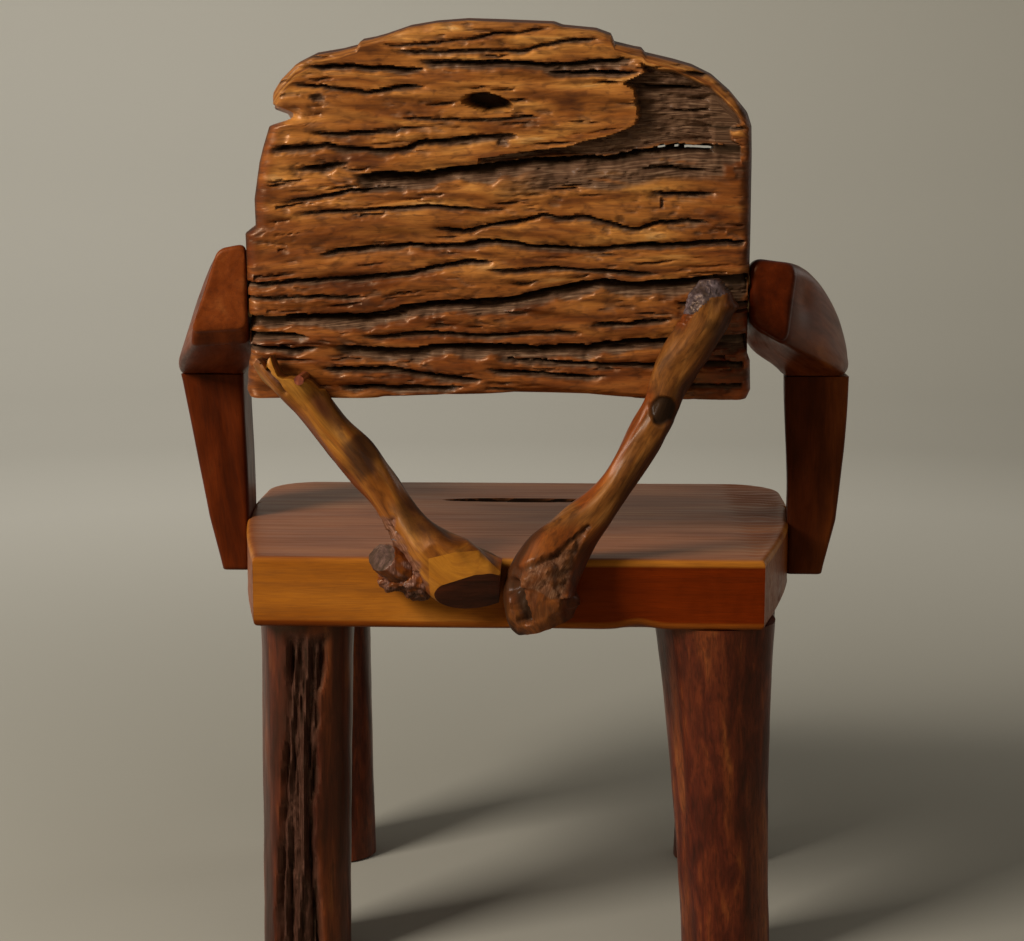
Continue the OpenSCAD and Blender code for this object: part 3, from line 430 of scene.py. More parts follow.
# %% The long checks: depth, how far below the lip the next ridge is whole, and the line
# A line runs from the left edge toward the right, as across and up. The list goes roughly from the
# top down, and its last nine lie by the right edge. The weathered field lies above the main check.
MAIN_CHECK = (17, 15, [(145, 212), (121, 216), (81, 216), (49, 220), (25, 222), (-45, 230),
                       (-98, 230), (-125, 236), (-142, 241), (-182, 241), (-215, 239)])
CHECKS = [
    (4, 4, [(122, 332), (69, 334), (5, 343), (-49, 348)]),
    (5, 5, [(110, 328), (57, 327), (24, 328), (-17, 328), (-35, 334), (-76, 338), (-92, 340)]),
    (9, 6, [(187, 314), (142, 315), (95, 312), (67, 310)]),
    (9, 9, [(84, 317), (6, 318), (-52, 315), (-85, 319), (-121, 320)]),
    (12, 6, [(-30, 306), (-58, 308), (-87, 309), (-126, 308)]),
    (7, 5, [(204, 299), (189, 297), (164, 296), (130, 290), (95, 296), (67, 295)]),
    (5, 4, [(84, 277), (50, 281), (36, 284)]),
    (6, 4, [(8, 281), (-10, 283), (-28, 283)]),
    (4, 4, [(193, 265), (185, 269), (160, 271)]),
    (5, 4, [(105, 265), (80, 267), (6, 265), (-40, 269)]),
    (6, 6, [(186, 254), (153, 253), (81, 257)]),
    (8, 8, [(224, 237), (202, 241), (166, 243), (153, 240), (96, 238), (80, 245), (48, 248),
            (6, 251), (-16, 251)]),
    (9, 9, [(202, 220), (184, 221), (160, 224), (139, 225)]),
    MAIN_CHECK,
    (7, 5, [(214, 187), (193, 192), (168, 195), (145, 200), (121, 202), (81, 203)]),
    (5, 5, [(204, 176), (162, 181), (123, 182), (73, 186), (33, 183), (-10, 183)]),
    (5, 4, [(180, 162), (160, 167)]),
    (7, 5, [(74, 166), (40, 162), (25, 165), (4, 169), (-33, 177), (-47, 174), (-70, 176),
            (-106, 167), (-122, 164), (-141, 171), (-169, 172), (-196, 169)]),
    (9, 6, [(181, 139), (159, 143), (114, 148), (85, 150), (52, 148), (27, 153), (7, 152),
            (-28, 147), (-81, 146), (-134, 149), (-188, 153), (-228, 152)]),
    (4, 4, [(215, 131), (188, 134)]),
    (9, 6, [(248, 111), (180, 116), (148, 117), (123, 120), (95, 122), (58, 130), (42, 134),
            (7, 133)]),
    (6, 6, [(26, 124), (-37, 128), (-99, 125), (-148, 122)]),
    (6, 5, [(247, 97), (212, 99), (127, 100)]),
    (18, 13, [(248, 78), (165, 81), (116, 83), (99, 90), (66, 94), (7, 98), (-10, 100), (-45, 108),
              (-90, 115), (-126, 113), (-152, 115), (-188, 118), (-222, 120)]),
    (9, 9, [(245, 64), (206, 63), (182, 58)]),
    (7, 5, [(143, 60), (67, 65), (7, 62), (-45, 67), (-78, 64)]),
    (8, 6, [(-71, 74), (-110, 75), (-160, 78)]),
    (15, 13, [(169, 52), (100, 48), (67, 52), (26, 53), (-27, 51), (-75, 53), (-118, 57),
              (-153, 59), (-224, 62)]),
    (8, 8, [(248, 50), (173, 49)]),
    (10, 7, [(183, 29), (108, 31), (85, 25), (51, 20), (19, 19)]),
    (8, 6, [(17, 40), (-33, 37), (-82, 35), (-129, 35), (-222, 36)]),
    (8, 6, [(27, 28), (-9, 27), (-55, 24), (-96, 20)]),
    (9, 7, [(167, 11), (93, 12), (40, 10)]),
    (9, 6, [(-108, 296), (-150, 294), (-188, 293)]),
    (7, 5, [(-150, 309), (-192, 305)]),
    (6, 5, [(-130, 274), (-170, 273), (-200, 275)]),
    (6, 5, [(-165, 258), (-228, 257)]),
    (8, 6, [(-110, 220), (-150, 222), (-190, 219)]),
    (7, 6, [(-125, 199), (-165, 198), (-199, 198)]),
    (12, 26, [(-190, 117), (-206, 119), (-224, 120)]),
    (7, 6, [(-150, 94), (-190, 93), (-224, 95)]),
    (6, 5, [(-150, 15), (-190, 14), (-222, 15)]),
]
# Lines of the grain: a height up the slab, and its true height at seven stations across.
STATIONS = (-225, -160, -80, 0, 80, 160, 240)
GRAIN_LINES = [
    (0, (0,) * 7), (52, (62, 59, 53, 52, 50, 51, 50)),
    (100, (120, 116, 113, 99, 93, 81, 78)), (150, (153, 151, 147, 151, 149, 142, 128)),
    (183, (187, 188, 188, 183, 185, 181, 172)), (225, (239, 241, 230, 225, 216, 211, 205)),
    (260, (262, 266, 260, 258, 254, 254, 246)), (296, (297, 299, 300, 296, 296, 296, 290)),
    (318, (318, 320, 318, 318, 316, 315, 312)), (DRAWN_H, (DRAWN_H,) * 7),
]
print(len(CHECKS), "long checks, the deepest", max(c[0] for c in CHECKS), "mm")


# %% Small checks that the weather added between the long ones
def grain_height(level_v, u):
    """Height up the slab of a grain line at u."""
    rows = [(low, lookup(list(zip(STATIONS, heights)), u)) for low, heights in GRAIN_LINES]
    return lookup(rows, level_v)


def small_checks(count):
    """Short checks along the grain, a little tilted. The seed gives the same slab every time."""
    dice = random.Random(11)
    made = []
    for _ in range(count):
        u = dice.uniform(-215, 215)
        level_v = dice.uniform(4, 345)
        long = dice.uniform(12, 62)
        tilt = dice.uniform(-0.04, 0.04)
        line = [(u + s * long, grain_height(level_v, u + s * long) + tilt * s * long)
                for s in (0.5, 0.17, -0.17, -0.5)]
        made.append((dice.uniform(1.0, 4.2), dice.uniform(1.6, 4.2), line))
    return made


ALL_CHECKS = CHECKS + small_checks(330)
print(len(ALL_CHECKS), "checks with the small ones")

# %% Which checks are near a place
# A ridge starts to roll down toward its lip this far above it.
LIP_ROLL = 8.0
# A check whose line starts or ends beyond these runs out at the slab's side. Others taper.
OPEN_LEFT = 215
OPEN_RIGHT = -200
TAPER = 26
BIN_H = 20
columns_seen = {}


def checks_near(u, v):
    """The checks by the place (u, v): height of the lip, depth, and reach below the lip. A column
    of the slab is worked out once and sorted into bins by height."""
    column = round(u * 2)
    if column not in columns_seen:
        u = column / 2
        bins = columns_seen[column] = {}
        for number, (depth, reach, line) in enumerate(ALL_CHECKS):
            left, right = line[0][0], line[-1][0]
            if not right < u < left:
                continue
            height = lookup(line[::-1], u)
            height += 1.6 * wobble(number, u / 21) + 0.9 * wobble(number + 50, u / 5)
            depth *= 1 if left > OPEN_LEFT else smooth(0, TAPER, left - u)
            depth *= 1 if right < OPEN_RIGHT else smooth(0, TAPER, u - right)
            depth *= 1.05 + 0.4 * wobble(number + 90, u / 30)
            reach *= 1.15 + 0.6 * wobble(number + 130, u / 16)
            lowest, highest = (height - reach) // BIN_H, (height + LIP_ROLL) // BIN_H
            for place in range(int(lowest), int(highest) + 1):
                bins.setdefault(place, []).append((height, depth, reach))
    return columns_seen[column].get(int(v // BIN_H), ())


# %% The sides of the slab, and how a rounded edge falls away
def side_edges(v):
    return BACK_HALF[LEFT] + lookup(LEFT_EDGE, v), -BACK_HALF[RIGHT] - lookup(RIGHT_EDGE, v)


def edge_roll(reach, r):
    """How far a rounded edge has fallen, at a distance in from it."""
    return 0.0 if reach >= r else r - math.sqrt(max(0.0, r * r - (r - reach) ** 2))


# %% Depth of a check
# The steep face of a lip, counted down from the check's line.
LIP_TOP = -1.6
LIP_FOOT = 0.2


def check_relief(u, v, polish):
    """How deep the checks cut at a place, how raw and dark they are, and the roll toward a lip."""
    cut = raw = dark = lip = 0.0
    for height, depth, reach in checks_near(u, v):
        below = height - v
        if not -LIP_ROLL < below < reach:
            continue
        if below < 0:
            lip = max(lip, min(2.3, 0.27 * depth) * (1 + below / LIP_ROLL) ** 2 * polish)
        if below < LIP_TOP:
            continue
        if below < LIP_FOOT:
            share = smooth(LIP_TOP, LIP_FOOT, below)
        else:
            share = (1 - (below - LIP_FOOT) / reach) ** 1.35
        share *= polish
        cut = max(cut, depth * share)
        raw = max(raw, smooth(0.8, 3.2, depth * share))
        # A check is painted dark below its lip: painted shade, with some dirt.
        dark = max(dark, smooth(1.4, 6.5, depth * share) * smooth(0.3, 0.85, share))
    return cut, raw, dark, lip


# %% Depth of the rear face at a place on the slab
MAIN_LINE = MAIN_CHECK[2][::-1]
# Above the left arm the checks fade out before the edge, over this width.
SMOOTH_MARGIN = 20.0
# The deepest cut over the arms' dowels, and how far in from the sides they reach.
DOWEL_DEPTH = 13.0
DOWEL_REACH = 34.0
KNOT_U = 18
KNOT_V = 281
# Pits that insects and old knots left: place, half width and half height.
PITS = [(173, 285, 8, 4), (3, 244, 7, 4), (-143, 188, 2.4, 5.5)]


def rear_depth(u, v):
    """How deep the surface lies below the slab's rear plane, and how raw, dark and smooth it is."""
    left, right = side_edges(v)
    polish = smooth(6, SMOOTH_MARGIN, left - u) if 128 < v < 262 else 1.0
    polish *= smooth(3, 12, u - right) if v > 130 else 1.0
    cut, raw, dark, lip = check_relief(u, v, polish)
    # The weathered field above the main check, and the raw slope below it.
    above_main = v - lookup(MAIN_LINE, u)
    rim = min(u - right, 0.9 * (lookup(TOP_EDGE, u) - v))
    outer = rim - 6 - 11 * smooth(262, 256, v) * smooth(240, 246, v) - 2 * wobble(17, u / 12, v / 12)
    field = (smooth(2.0, -2.0, u - lookup(BREAK_LINE, v) - 4 * wobble(7, v / 5))
             * smooth(0, 4, outer) * smooth(0, 4, above_main))
    slope = (smooth(30, -40, u) * smooth(-203, -196, u) * smooth(-34, -26, above_main)
             * smooth(2, -2, above_main))
    along, across = u / 38, v - 0.1 * u
    raw = max(raw, field, slope * smooth(0.1, 0.5, 0.6 + wobble(3, u / 60, across / 7)))
    fibre = abs(wobble(5, along, across / 3.2)) + 0.5 * abs(wobble(6, 2.7 * along, across / 1.5))
    chunks = wobble(10, u / 14, across / 4.5) + 0.5 * wobble(11, u / 6, across / 2.2)
    worn = field * (11 + 7 * wobble(8, u / 50, across / 8))
    cut += worn + raw * (1.6 * fibre + 3.4 * abs(chunks))
    # The knot hole and the pits.
    hole = abs((u - KNOT_U) / 25) ** 1.2 + abs((v - KNOT_V - 0.12 * (u - KNOT_U)) / 9) ** 2
    hole += 0.2 * wobble(9, u / 9, v / 5)
    cut = max(cut, 20 * smooth(1.05, 0.55, hole))
    # The knot hole is painted dark: painted shade inside it.
    dark = max(dark, smooth(0.95, 0.6, hole))
    for pit_u, pit_v, half_wide, half_high in PITS:
        pit = math.hypot((u - pit_u) / half_wide, (v - pit_v) / half_high)
        pit += 0.3 * wobble(18, u / 4, v / 4)
        cut += 4 * smooth(1, 0.4, pit)
        raw = max(raw, smooth(1.1, 0.6, pit))
    # Dents and slow bulges of the polished ridges.
    busy = smooth(-0.1, 0.3, wobble(15, u / 60, across / 24))
    dent = busy * smooth(0.12, 0.42, wobble(14, u / 12, across / 4))
    raw = max(raw, 0.55 * dent)
    cut += polish * (1.5 * dent + 0.45 * wobble(4, u / 11, across / 3) * (0.4 + busy))
    bulge = 4.2 * wobble(1, u / 80, across / 12) + 1.1 * wobble(2, u / 34, across / 6)
    cut += lip + 2.4 + bulge * mix(0.15, 1.0, polish)
    cut = min(cut, DOWEL_DEPTH + max(0.0, min(left - u, u - right) - DOWEL_REACH))
    # The last few mm of the rolled edges are painted dark: painted shade where the edge turns away
    # from the light.
    dark = max(dark, 0.75 * smooth(5, 0, min(rim, left - u)) * smooth(0.2, 1.0, 1 - 0.5 * polish))
    # Painted shade: darker toward the bottom and toward the right side, away from the key light, and
    # darkest in the lower right corner, where it stands for the right strut's shadow; partly also a
    # darker wood there.
    deep = max(0.6 * smooth(200, 50, v - 0.25 * u),
               0.55 * smooth(-130, -200, u) * smooth(255, 225, v),
               0.95 * smooth(-120, -200, u) * smooth(125, 80, v))
    return max(0.0, cut), {"raw": raw, "dark": dark, "margin": 1 - polish, "deep": deep}


# %% Where the points of the slab go
REAR_ROWS = 244
FRONT_ROWS = 56
EDGE_ROWS = 8
COLUMNS = 288
LEAST_ROW = 0.35
GRID_LEFT = TOP_EDGE[-1][0]
GRID_RIGHT = TOP_EDGE[0][0]
# Radii of the rounded edges: along the slab and at its sides, on the rear and on the front.
REAR_ROLL_R = 7.0
REAR_SIDE_R = 13
FRONT_ROLL_R = 6.0
FRONT_SIDE_R = 9
# A bite out of the left edge and a slit through the main check both run level through the leaning
# slab. The front's rows crowd together round both, and start as much higher in the grid as the lean
# lowers them, so that the end faces link rear and front points of one height.
BITE_V = 268.0
BITE_DEPTH = 21.0
BUSY_UP = 0.7
FRONT_FALL = math.tan(LEAN) * BACK_T
FRONT_RISE = FRONT_FALL / DRAWN_H


def slab_u(share):
    """Place across the slab of a share of its columns, which crowd together at both sides."""
    return mix(GRID_LEFT, GRID_RIGHT, mix(share, smooth(0, 1, share), 0.22))


def front_up(up):
    """Crowds the front's rows together round the busy height."""
    return mix(up, BUSY_UP, 0.6 * bell(up, BUSY_UP, 0.12))


def slab_height(up, u):
    """Height of a row at u, and of both edges there. Rows follow the grain and crowd together under
    the top edge, but never closer than the least row."""
    low, high = lookup(LOW_EDGE, u), lookup(TOP_EDGE, u)
    crowd = LEAST_ROW * REAR_ROWS
    v = min(high - crowd * (1 - up), grain_height(DRAWN_H * up, u))
    return max(low + crowd * up, v), low, high


def slab_point(share, up, through):
    """Place of a point, in mm, and its marks. Through is 0 on the rear face and 1 on the front."""
    u = slab_u(share)
    v, low, high = slab_height(up, u)
    left, right = side_edges(v)
    share = (GRID_LEFT - u) / (GRID_LEFT - GRID_RIGHT)
    bite = BITE_DEPTH * smooth(11, 1.5, abs(v + FRONT_FALL * through - BITE_V))
    u = mix(left, right, share) - bite * smooth(150, GRID_LEFT, u)
    side_reach = min(left - bite - u, u - right)
    if through == 0:
        cut, marks = rear_depth(u, v)
        depth = cut + edge_roll(side_reach, REAR_SIDE_R)
        depth += edge_roll(min(1.2 * (high - v), v - low), REAR_ROLL_R)
    else:
        # The edge faces are painted dark: painted shade on edges turned away from the light. They and
        # the front also get a deeper tone.
        marks = {"deep": 0.5} if through == 1 else {"dark": 0.45, "margin": 1.0, "deep": 0.6}
        wave = 0.9 + 0.8 * wobble(12, u / 80, v / 35) + 0.3 * wobble(13, u / 40, v / 6)
        front = BACK_T - edge_roll(side_reach, FRONT_SIDE_R) - wave
        front -= edge_roll(min(v - low, high - v), FRONT_ROLL_R)
        depth = mix(REAR_ROLL_R + edge_roll(side_reach, REAR_SIDE_R), front, through)
    v *= BACK_FIT
    y = BACK_Y - depth * math.cos(LEAN) + v * math.sin(LEAN)
    z = BACK_Z + depth * math.sin(LEAN) + v * math.cos(LEAN)
    return (u, y, z), marks


# %% Open the main check right through, before the grid is carved
SLIT_REAR_V = 239.4
SLIT_FRONT_V = 234.2
SLITS = [(-134, -142), (-149, -154), (-158, -182)]


def open_slit(bm, left, right):
    """Takes a row of faces out of the rear and of the front, and bridges the two holes."""
    middle = (left + right) / 2
    slit_rows = {}
    for through, count, slit_v in ((0, REAR_ROWS, SLIT_REAR_V), (1, FRONT_ROWS, SLIT_FRONT_V)):
        ups = [(i + 0.5) / count for i in range(count)]
        heights = [slab_height(front_up(up) if through else up, middle)[0] for up in ups]
        slit_rows[through] = count, min(range(count), key=lambda i: abs(heights[i] - slit_v))
    holes = []
    for face in bm.faces:
        centre = face.calc_center_median()
        through = round(-centre.y)
        if abs(-centre.y - through) > 0.01 or not 0 < centre.x < COLUMNS:
            continue
        count, row = slit_rows[through]
        if right < slab_u(centre.x / COLUMNS) < left and int(centre.z * count) == row:
            holes.append(face)
    rims = {e for f in holes for e in f.edges if not all(g in holes for g in e.link_faces)}
    bmesh.ops.delete(bm, geom=holes, context="FACES_ONLY")
    wall = bmesh.ops.bridge_loops(bm, edges=[e for e in rims if e.is_valid])["faces"]
    print("slit", left, "to", right, "through", len(holes), "faces, wall of", len(wall))


# %% Cut the back slab
def back_slab():
    bm = bmesh.new()
    corners = [bm.verts.new(c) for c in ((0, 0, 0), (0, 0, 1), (0, -1, 1), (0, -1, 0))]
    sides = [bm.edges.new((corners[i], corners[(i + 1) % 4])) for i in range(4)]
    for edge, rows in zip(sides, (REAR_ROWS, EDGE_ROWS, FRONT_ROWS, EDGE_ROWS)):
        bmesh.ops.subdivide_edges(bm, edges=[edge], cuts=rows - 1)
    pull(bm, COLUMNS, (1, 0, 0))
    for slit in SLITS:
        open_slit(bm, *slit)
    for vert in bm.verts:
        if vert.co.y == -1:
            vert.co.z = front_up(vert.co.z) + FRONT_RISE
    # The two ends are closed by faces from each rear point to a front point, and slivers after.
    for x in (0, COLUMNS):
        chains = [e for e in bm.edges if e.is_boundary and abs(e.verts[0].co.x - x) < 0.5
                  and e.verts[0].co.y == e.verts[1].co.y]
        bmesh.ops.bridge_loops(bm, edges=chains)
    slivers = bmesh.ops.holes_fill(bm, edges=[e for e in bm.edges if e.is_boundary])["faces"]
    bmesh.ops.triangulate(bm, faces=slivers)

    def on_slab(x, y, z):
        through = -y
        up = z - (FRONT_RISE if through == 1 else 0)
        point, marks = slab_point(x / COLUMNS, up, through)
        return point, (point[0], DRAWN_H * up, through * BACK_T), marks

    carve(bm, on_slab)
    return bm


# %% Weathered slab: old teak-like wood, split by the sun, its ridges sanded and oiled
# Ridges are golden brown with redder margins, and shine. Checks are raw, grey-brown and dull.
weathered_slab = wood(
    "old hardwood, weathered, ridges oiled and polished",
    [(0.0, "#54280F"), (0.3, "#884C1C"), (0.6, "#A9682C"), (0.85, "#C07F3A"), (1.0, "#D09A5A")],
    "#3A1C10", axis=0, margin=[(0.0, "#4E210B"), (0.6, "#7C3E14"), (1.0, "#96541E")],
    raw=[(0.0, "#20120C"), (0.5, "#4E3424"), (1.0, "#84664C")], figure_mm=(16, 90),
    streak_mm=(3.5, 40), spot_mm=(5, 14), spotty=0.6, gloss=0.36, shine=0.5, coat=0.05, bump=0.5)

finish_piece(back_slab(), "back_slab_wood", "weathered_slab", weathered_slab)

# %% [markdown]
# ## The seat
# One thick slab with a polished top, narrower behind and with round corners in front. A grid is its
# underside, and the top is extruded up from it, so that both have points for the carver to move: a
# long check in the top, the scalloped marks of an adze by one edge, and soft rolled edges. Rows and
# columns crowd together at the edges, where the surface turns.

# %% Sizes of the seat
SEAT_T = 70.0
SEAT_DEPTH = 458.0
CORNER_R = 58.0
SEAT_ROLL = 6.0
SEAT_REAR_HALF = 245.0
SEAT_FRONT_HALF = {LEFT: 294.0, RIGHT: 297.0}
# An arm post stands on a flat in the seat's side: where it starts, how long and how deep it is.
POST_SET = 211.0
POST_DEPTH = 98.0
POST_END = POST_SET + POST_DEPTH
HOUSING = 2.0
SEAM = 0.2
SEAT_GRID_W = 540
ROLL_STEPS = (0.0, 0.25, 0.8, 1.7, 3.0, 4.8, 7.5)
CORNER_STEPS = [CORNER_R * (1 - math.cos(math.radians(a))) for a in range(90, -1, -5)]
SEAT_ROWS = ([*ROLL_STEPS] + [11.0 + 4 * i for i in range(50)] + [POST_SET - 0.6, POST_SET + 0.4]
             + [POST_SET + 4 + 4.5 * i for i in range(21)] + [POST_END - 0.4, POST_END + 0.6]
             + [POST_END + 3 + 2.1 * i for i in range(40)] + [SEAT_DEPTH - s for s in CORNER_STEPS])
SEAT_COLUMNS = ([s / SEAT_GRID_W for s in ROLL_STEPS]
                + [(11 + 3.5 * i) / SEAT_GRID_W for i in range(149)]
                + [1 - s / SEAT_GRID_W for s in reversed(ROLL_STEPS)])
SEAT_SIDE_ROWS = 20


def seat_half(side, set_back):
    """Middle line to the seat's side, at a distance ahead of its rear face."""
    swell = math.sin(math.pi / 2 * clamp(set_back / (SEAT_DEPTH * 0.75)))
    return mix(SEAT_REAR_HALF, SEAT_FRONT_HALF[side], swell)


def seat_edge(side, set_back):
    """The same with the corner's arc and the flat that the arm post stands on."""
    into_corner = max(0.0, set_back - SEAT_DEPTH + CORNER_R)
    arc = CORNER_R - math.sqrt(max(0.0, CORNER_R ** 2 - into_corner ** 2))
    return seat_half(side, set_back) - arc - (HOUSING if POST_SET < set_back < POST_END else 0)


print("seat grid:", len(SEAT_COLUMNS), "by", len(SEAT_ROWS), "points")


# %% Carve the seat
# The long check in the top: its middle, half length, half width and depth.
LENS_X = -2
LENS_SET = 332
LENS_HALF_L = 85
LENS_HALF_W = 12
LENS_DEPTH = 12


def seat_relief(x, set_back, reach):
    """How deep the polished top lies, and how dark it is."""
    x_in = (x - LENS_X) / LENS_HALF_L
    y_in = (set_back - LENS_SET - 3 * wobble(21, x / 40)) / LENS_HALF_W
    lens = 1 - y_in ** 2 - x_in ** 2
    deep = LENS_DEPTH * clamp(lens) ** 0.5 * smooth(0, 0.12, lens)
    adze = 0.5 + 0.5 * math.cos((set_back / 17 + 0.8 * wobble(22, x / 30, set_back / 40)) * math.tau)
    deep += 1.3 * adze * smooth(-222, -246, x) * smooth(2, 14, reach)
    deep += 0.5 + 0.4 * wobble(23, x / 110, set_back / 60)
    # Inside the long check the top is painted dark: painted shade in the check.
    return deep, smooth(-0.1, 0.05, 1 - 0.8 * y_in ** 2 - x_in ** 2)


def rim_relief(x, set_back, up):
    """The sides are sawn and hardly sanded: fine waves, and chips along the lower edge."""
    deep = 0.25 + 0.25 * wobble(24, x / 40, set_back / 40, up * 6)
    deep += 0.8 * smooth(-110, -150, x) * abs(wobble(25, x / 16, set_back / 30, up * 1.5))
    chip = smooth(0.42, 0.6, wobble(26, x / 14, set_back / 14)) * smooth(0.16, 0.0, up)
    return deep + 1.8 * chip


def seat_point(share, set_back, up):
    """Place in mm and marks. Up is 0 on the underside and 1 on the top."""
    left, right = seat_edge(LEFT, set_back), -seat_edge(RIGHT, set_back)
    x, y = mix(left, right, share), SEAT_REAR_Y - set_back
    side = LEFT if x > 0 else RIGHT
    in_corner = (abs(x) - seat_half(side, set_back) + CORNER_R, set_back - SEAT_DEPTH + CORNER_R)
    reach = min(left - x, x - right, set_back, SEAT_DEPTH - set_back)
    if min(in_corner) > 0:
        reach = max(0.0, CORNER_R - math.hypot(*in_corner))
    wane = 5 * bell(x, -125, 17) * smooth(16, 0, set_back)
    low, high = SEAT_H - SEAT_T + SEAT_ROLL + wane, SEAT_H - SEAT_ROLL
    marks = {"margin": smooth(4.0, 1.0, reach), "deep": 0.0 if up == 1 else 0.7}
    z = mix(low, high, up)
    if up == 1:
        deep, marks["dark"] = seat_relief(x, set_back, reach)
        z = SEAT_H - edge_roll(reach, SEAT_ROLL) - deep * smooth(0, 5, reach)
    elif up == 0:
        z = SEAT_H - SEAT_T + wane + edge_roll(reach, SEAT_ROLL)
        z += 0.5 + 0.5 * wobble(27, x / 60, y / 60)
    else:
        deep = rim_relief(x, set_back, up)
        if set_back in (0, SEAT_DEPTH):
            y += deep if set_back else -deep
        else:
            x -= side * deep * smooth(0, 10, min(set_back, SEAT_DEPTH - set_back))
        # The rear face darkens toward the right: partly a darker stain, partly painted shade on the
        # side away from the key light.
        if set_back == 0:
            marks["deep"] = smooth(110, -60, x)
    return (x, y, z), marks


def seat_slab():
    bm = bmesh.new()
    columns, rows = len(SEAT_COLUMNS) - 1, len(SEAT_ROWS) - 1
    bmesh.ops.create_grid(bm, x_segments=columns, y_segments=rows, size=1)
    pulled = bmesh.ops.extrude_face_region(bm, geom=bm.faces[:], use_keep_orig=True)["geom"]
    top = [g for g in pulled if isinstance(g, bmesh.types.BMVert)]
    bmesh.ops.translate(bm, verts=top, vec=(0, 0, 1))
    upright = [e for e in bm.edges if e.verts[0].co.z != e.verts[1].co.z]
    bmesh.ops.subdivide_edges(bm, edges=upright, cuts=SEAT_SIDE_ROWS, use_grid_fill=True)

    def on_seat(x, y, z):
        share = SEAT_COLUMNS[round((x + 1) / 2 * columns)]
        set_back = SEAT_ROWS[round((y + 1) / 2 * rows)]
        point, marks = seat_point(share, set_back, z)
        return point, point, marks

    carve(bm, on_seat)
    return bm


# %% Seat wood: the same timber, planed and oiled until it shines
# The top is stained purple-brown by polish; the sawn sides keep the golden colour of the wood.
polished_slab = wood(
    "hardwood, planed, stained and polished",
    [(0.0, "#703C22"), (0.5, "#8C5230"), (1.0, "#9E643C")], "#54301A", axis=0,
    margin=[(0.0, "#84460F"), (0.5, "#A4601A"), (1.0, "#B87428")], figure_mm=(60, 280),
    streak_mm=(7, 150), spotty=0.1, gloss=0.36, shine=0.12, coat=0.0, bump=0.12, streaky=0.3)

finish_piece(seat_slab(), "seat_slab_wood", "polished_slab", polished_slab)

# %% [markdown]
# ## Arms and posts
# Each arm is hewn from one billet. It starts at the edge of the back, sweeps outwards and down, and
# ends on a post that is let into the side of the seat. A bar with a four-cornered section does for
# all four pieces: its corners follow the length, its edges are rounded, and its ends are rolled.

# %% Sizes of the arms and posts
ARM_REAR_Y = 188.0
ARM_FRONT_Y = -121.0
ARM_LENGTH = ARM_REAR_Y - ARM_FRONT_Y
ARM_TOP_Z = {LEFT: 718.0, RIGHT: 704.0}
ARM_END_H = {LEFT: 96.0, RIGHT: 82.0}
ELBOW_X = {LEFT: 360.0, RIGHT: 354.0}
# Rear end: how far its outer corners stand out from the back at the top and low down, and how much
# the inner low corner is above the outer one.
ARM_END_W = {LEFT: (26.0, 54.0), RIGHT: (42.0, 32.0)}
UNDER_RISE = {LEFT: 4.0, RIGHT: 23.0}
ARM_CHAMFER = {LEFT: 16.0, RIGHT: 5.0}
NOSE_TOP_Z = 589.0
POST_TOP_Z = 573.0
POST_FOOT_Z = 362.0
POST_T = {LEFT: 44.0, RIGHT: 52.0}
POST_REAR_Y = SEAT_REAR_Y - POST_SET
POST_FRONT_Y = SEAT_REAR_Y - POST_END
POST_Y_MID = (POST_REAR_Y + POST_FRONT_Y) / 2


def quarter(t):
    return math.sin(math.pi / 2 * clamp(t))


def post_in_x(side, set_back, z):
    """Inner face of a post. It follows the side of the seat, which is not parallel to the middle."""
    near, far = seat_half(side, POST_SET), seat_half(side, POST_END)
    flat = mix(near, far, (set_back - POST_SET) / POST_DEPTH) - HOUSING + SEAM
    return flat + (3 if side == LEFT else -6) * smooth(SEAT_H + 10, POST_TOP_Z, z)


def post_out_x(side, z):
    t = (z - SEAT_H) / (POST_TOP_Z - SEAT_H)
    at_seat = seat_half(side, POST_SET) - HOUSING + POST_T[side]
    if t < 0:
        return at_seat + 0.24 * (z - SEAT_H)
    return mix(at_seat, ELBOW_X[side] - 6, t if side == LEFT else quarter(t))


def arm_section(side, t):
    """Corners in (x, z) at a share of the arm's length: inner low, inner top, outer top and outer
    low."""
    y = mix(ARM_REAR_Y, ARM_FRONT_Y, t)
    past_back = (12 + BACK_T + 4) / ARM_LENGTH
    sweep = quarter(t) if side == LEFT else quarter(t / 0.93)
    fall = quarter(t) ** 1.15 if side == LEFT else smooth(0, 1, t)
    butt = BACK_HALF[side] + SEAM
    in_x = mix(butt, post_in_x(side, POST_SET, POST_TOP_Z) - 2, smooth(past_back, 0.75, t))
    top_x = mix(BACK_HALF[side] + ARM_END_W[side][0], ELBOW_X[side] - 3, sweep)
    low_x = mix(BACK_HALF[side] + ARM_END_W[side][1], ELBOW_X[side], quarter(t / 0.85))
    top_z = mix(ARM_TOP_Z[side] - 4, NOSE_TOP_Z, fall)
    low_z = ARM_TOP_Z[side] - ARM_END_H[side]
    down = clamp((ARM_REAR_Y - y) / (ARM_REAR_Y - POST_REAR_Y))
    lift = ARM_CHAMFER[side] * clamp(1 - t / 0.045)
    return [(side * in_x, mix(low_z + UNDER_RISE[side], POST_TOP_Z, down) + lift),
            (side * in_x, top_z + mix(5, 20, t)), (side * top_x, top_z),
            (side * low_x, mix(low_z, POST_TOP_Z, down) + lift)]


def round_corners(corners, r, turn):
    """Point at a share of the way round a four-cornered section with rounded corners."""
    i = int(turn * 4) % 4
    f = (turn * 4) % 1
    here, following, after = (Vector(corners[(i + j) % 4]) for j in (0, 1, 2))
    side, next_side = following - here, after - following
    leave = here + side * min(0.48, r / side.length)
    arrive = following - side * min(0.48, r / side.length)
    if f <= 0.5:
        return leave.lerp(arrive, f * 2)
    out = following + next_side * min(0.48, r / next_side.length)
    s = f * 2 - 1
    return arrive.lerp(following, s).lerp(following.lerp(out, s), s)


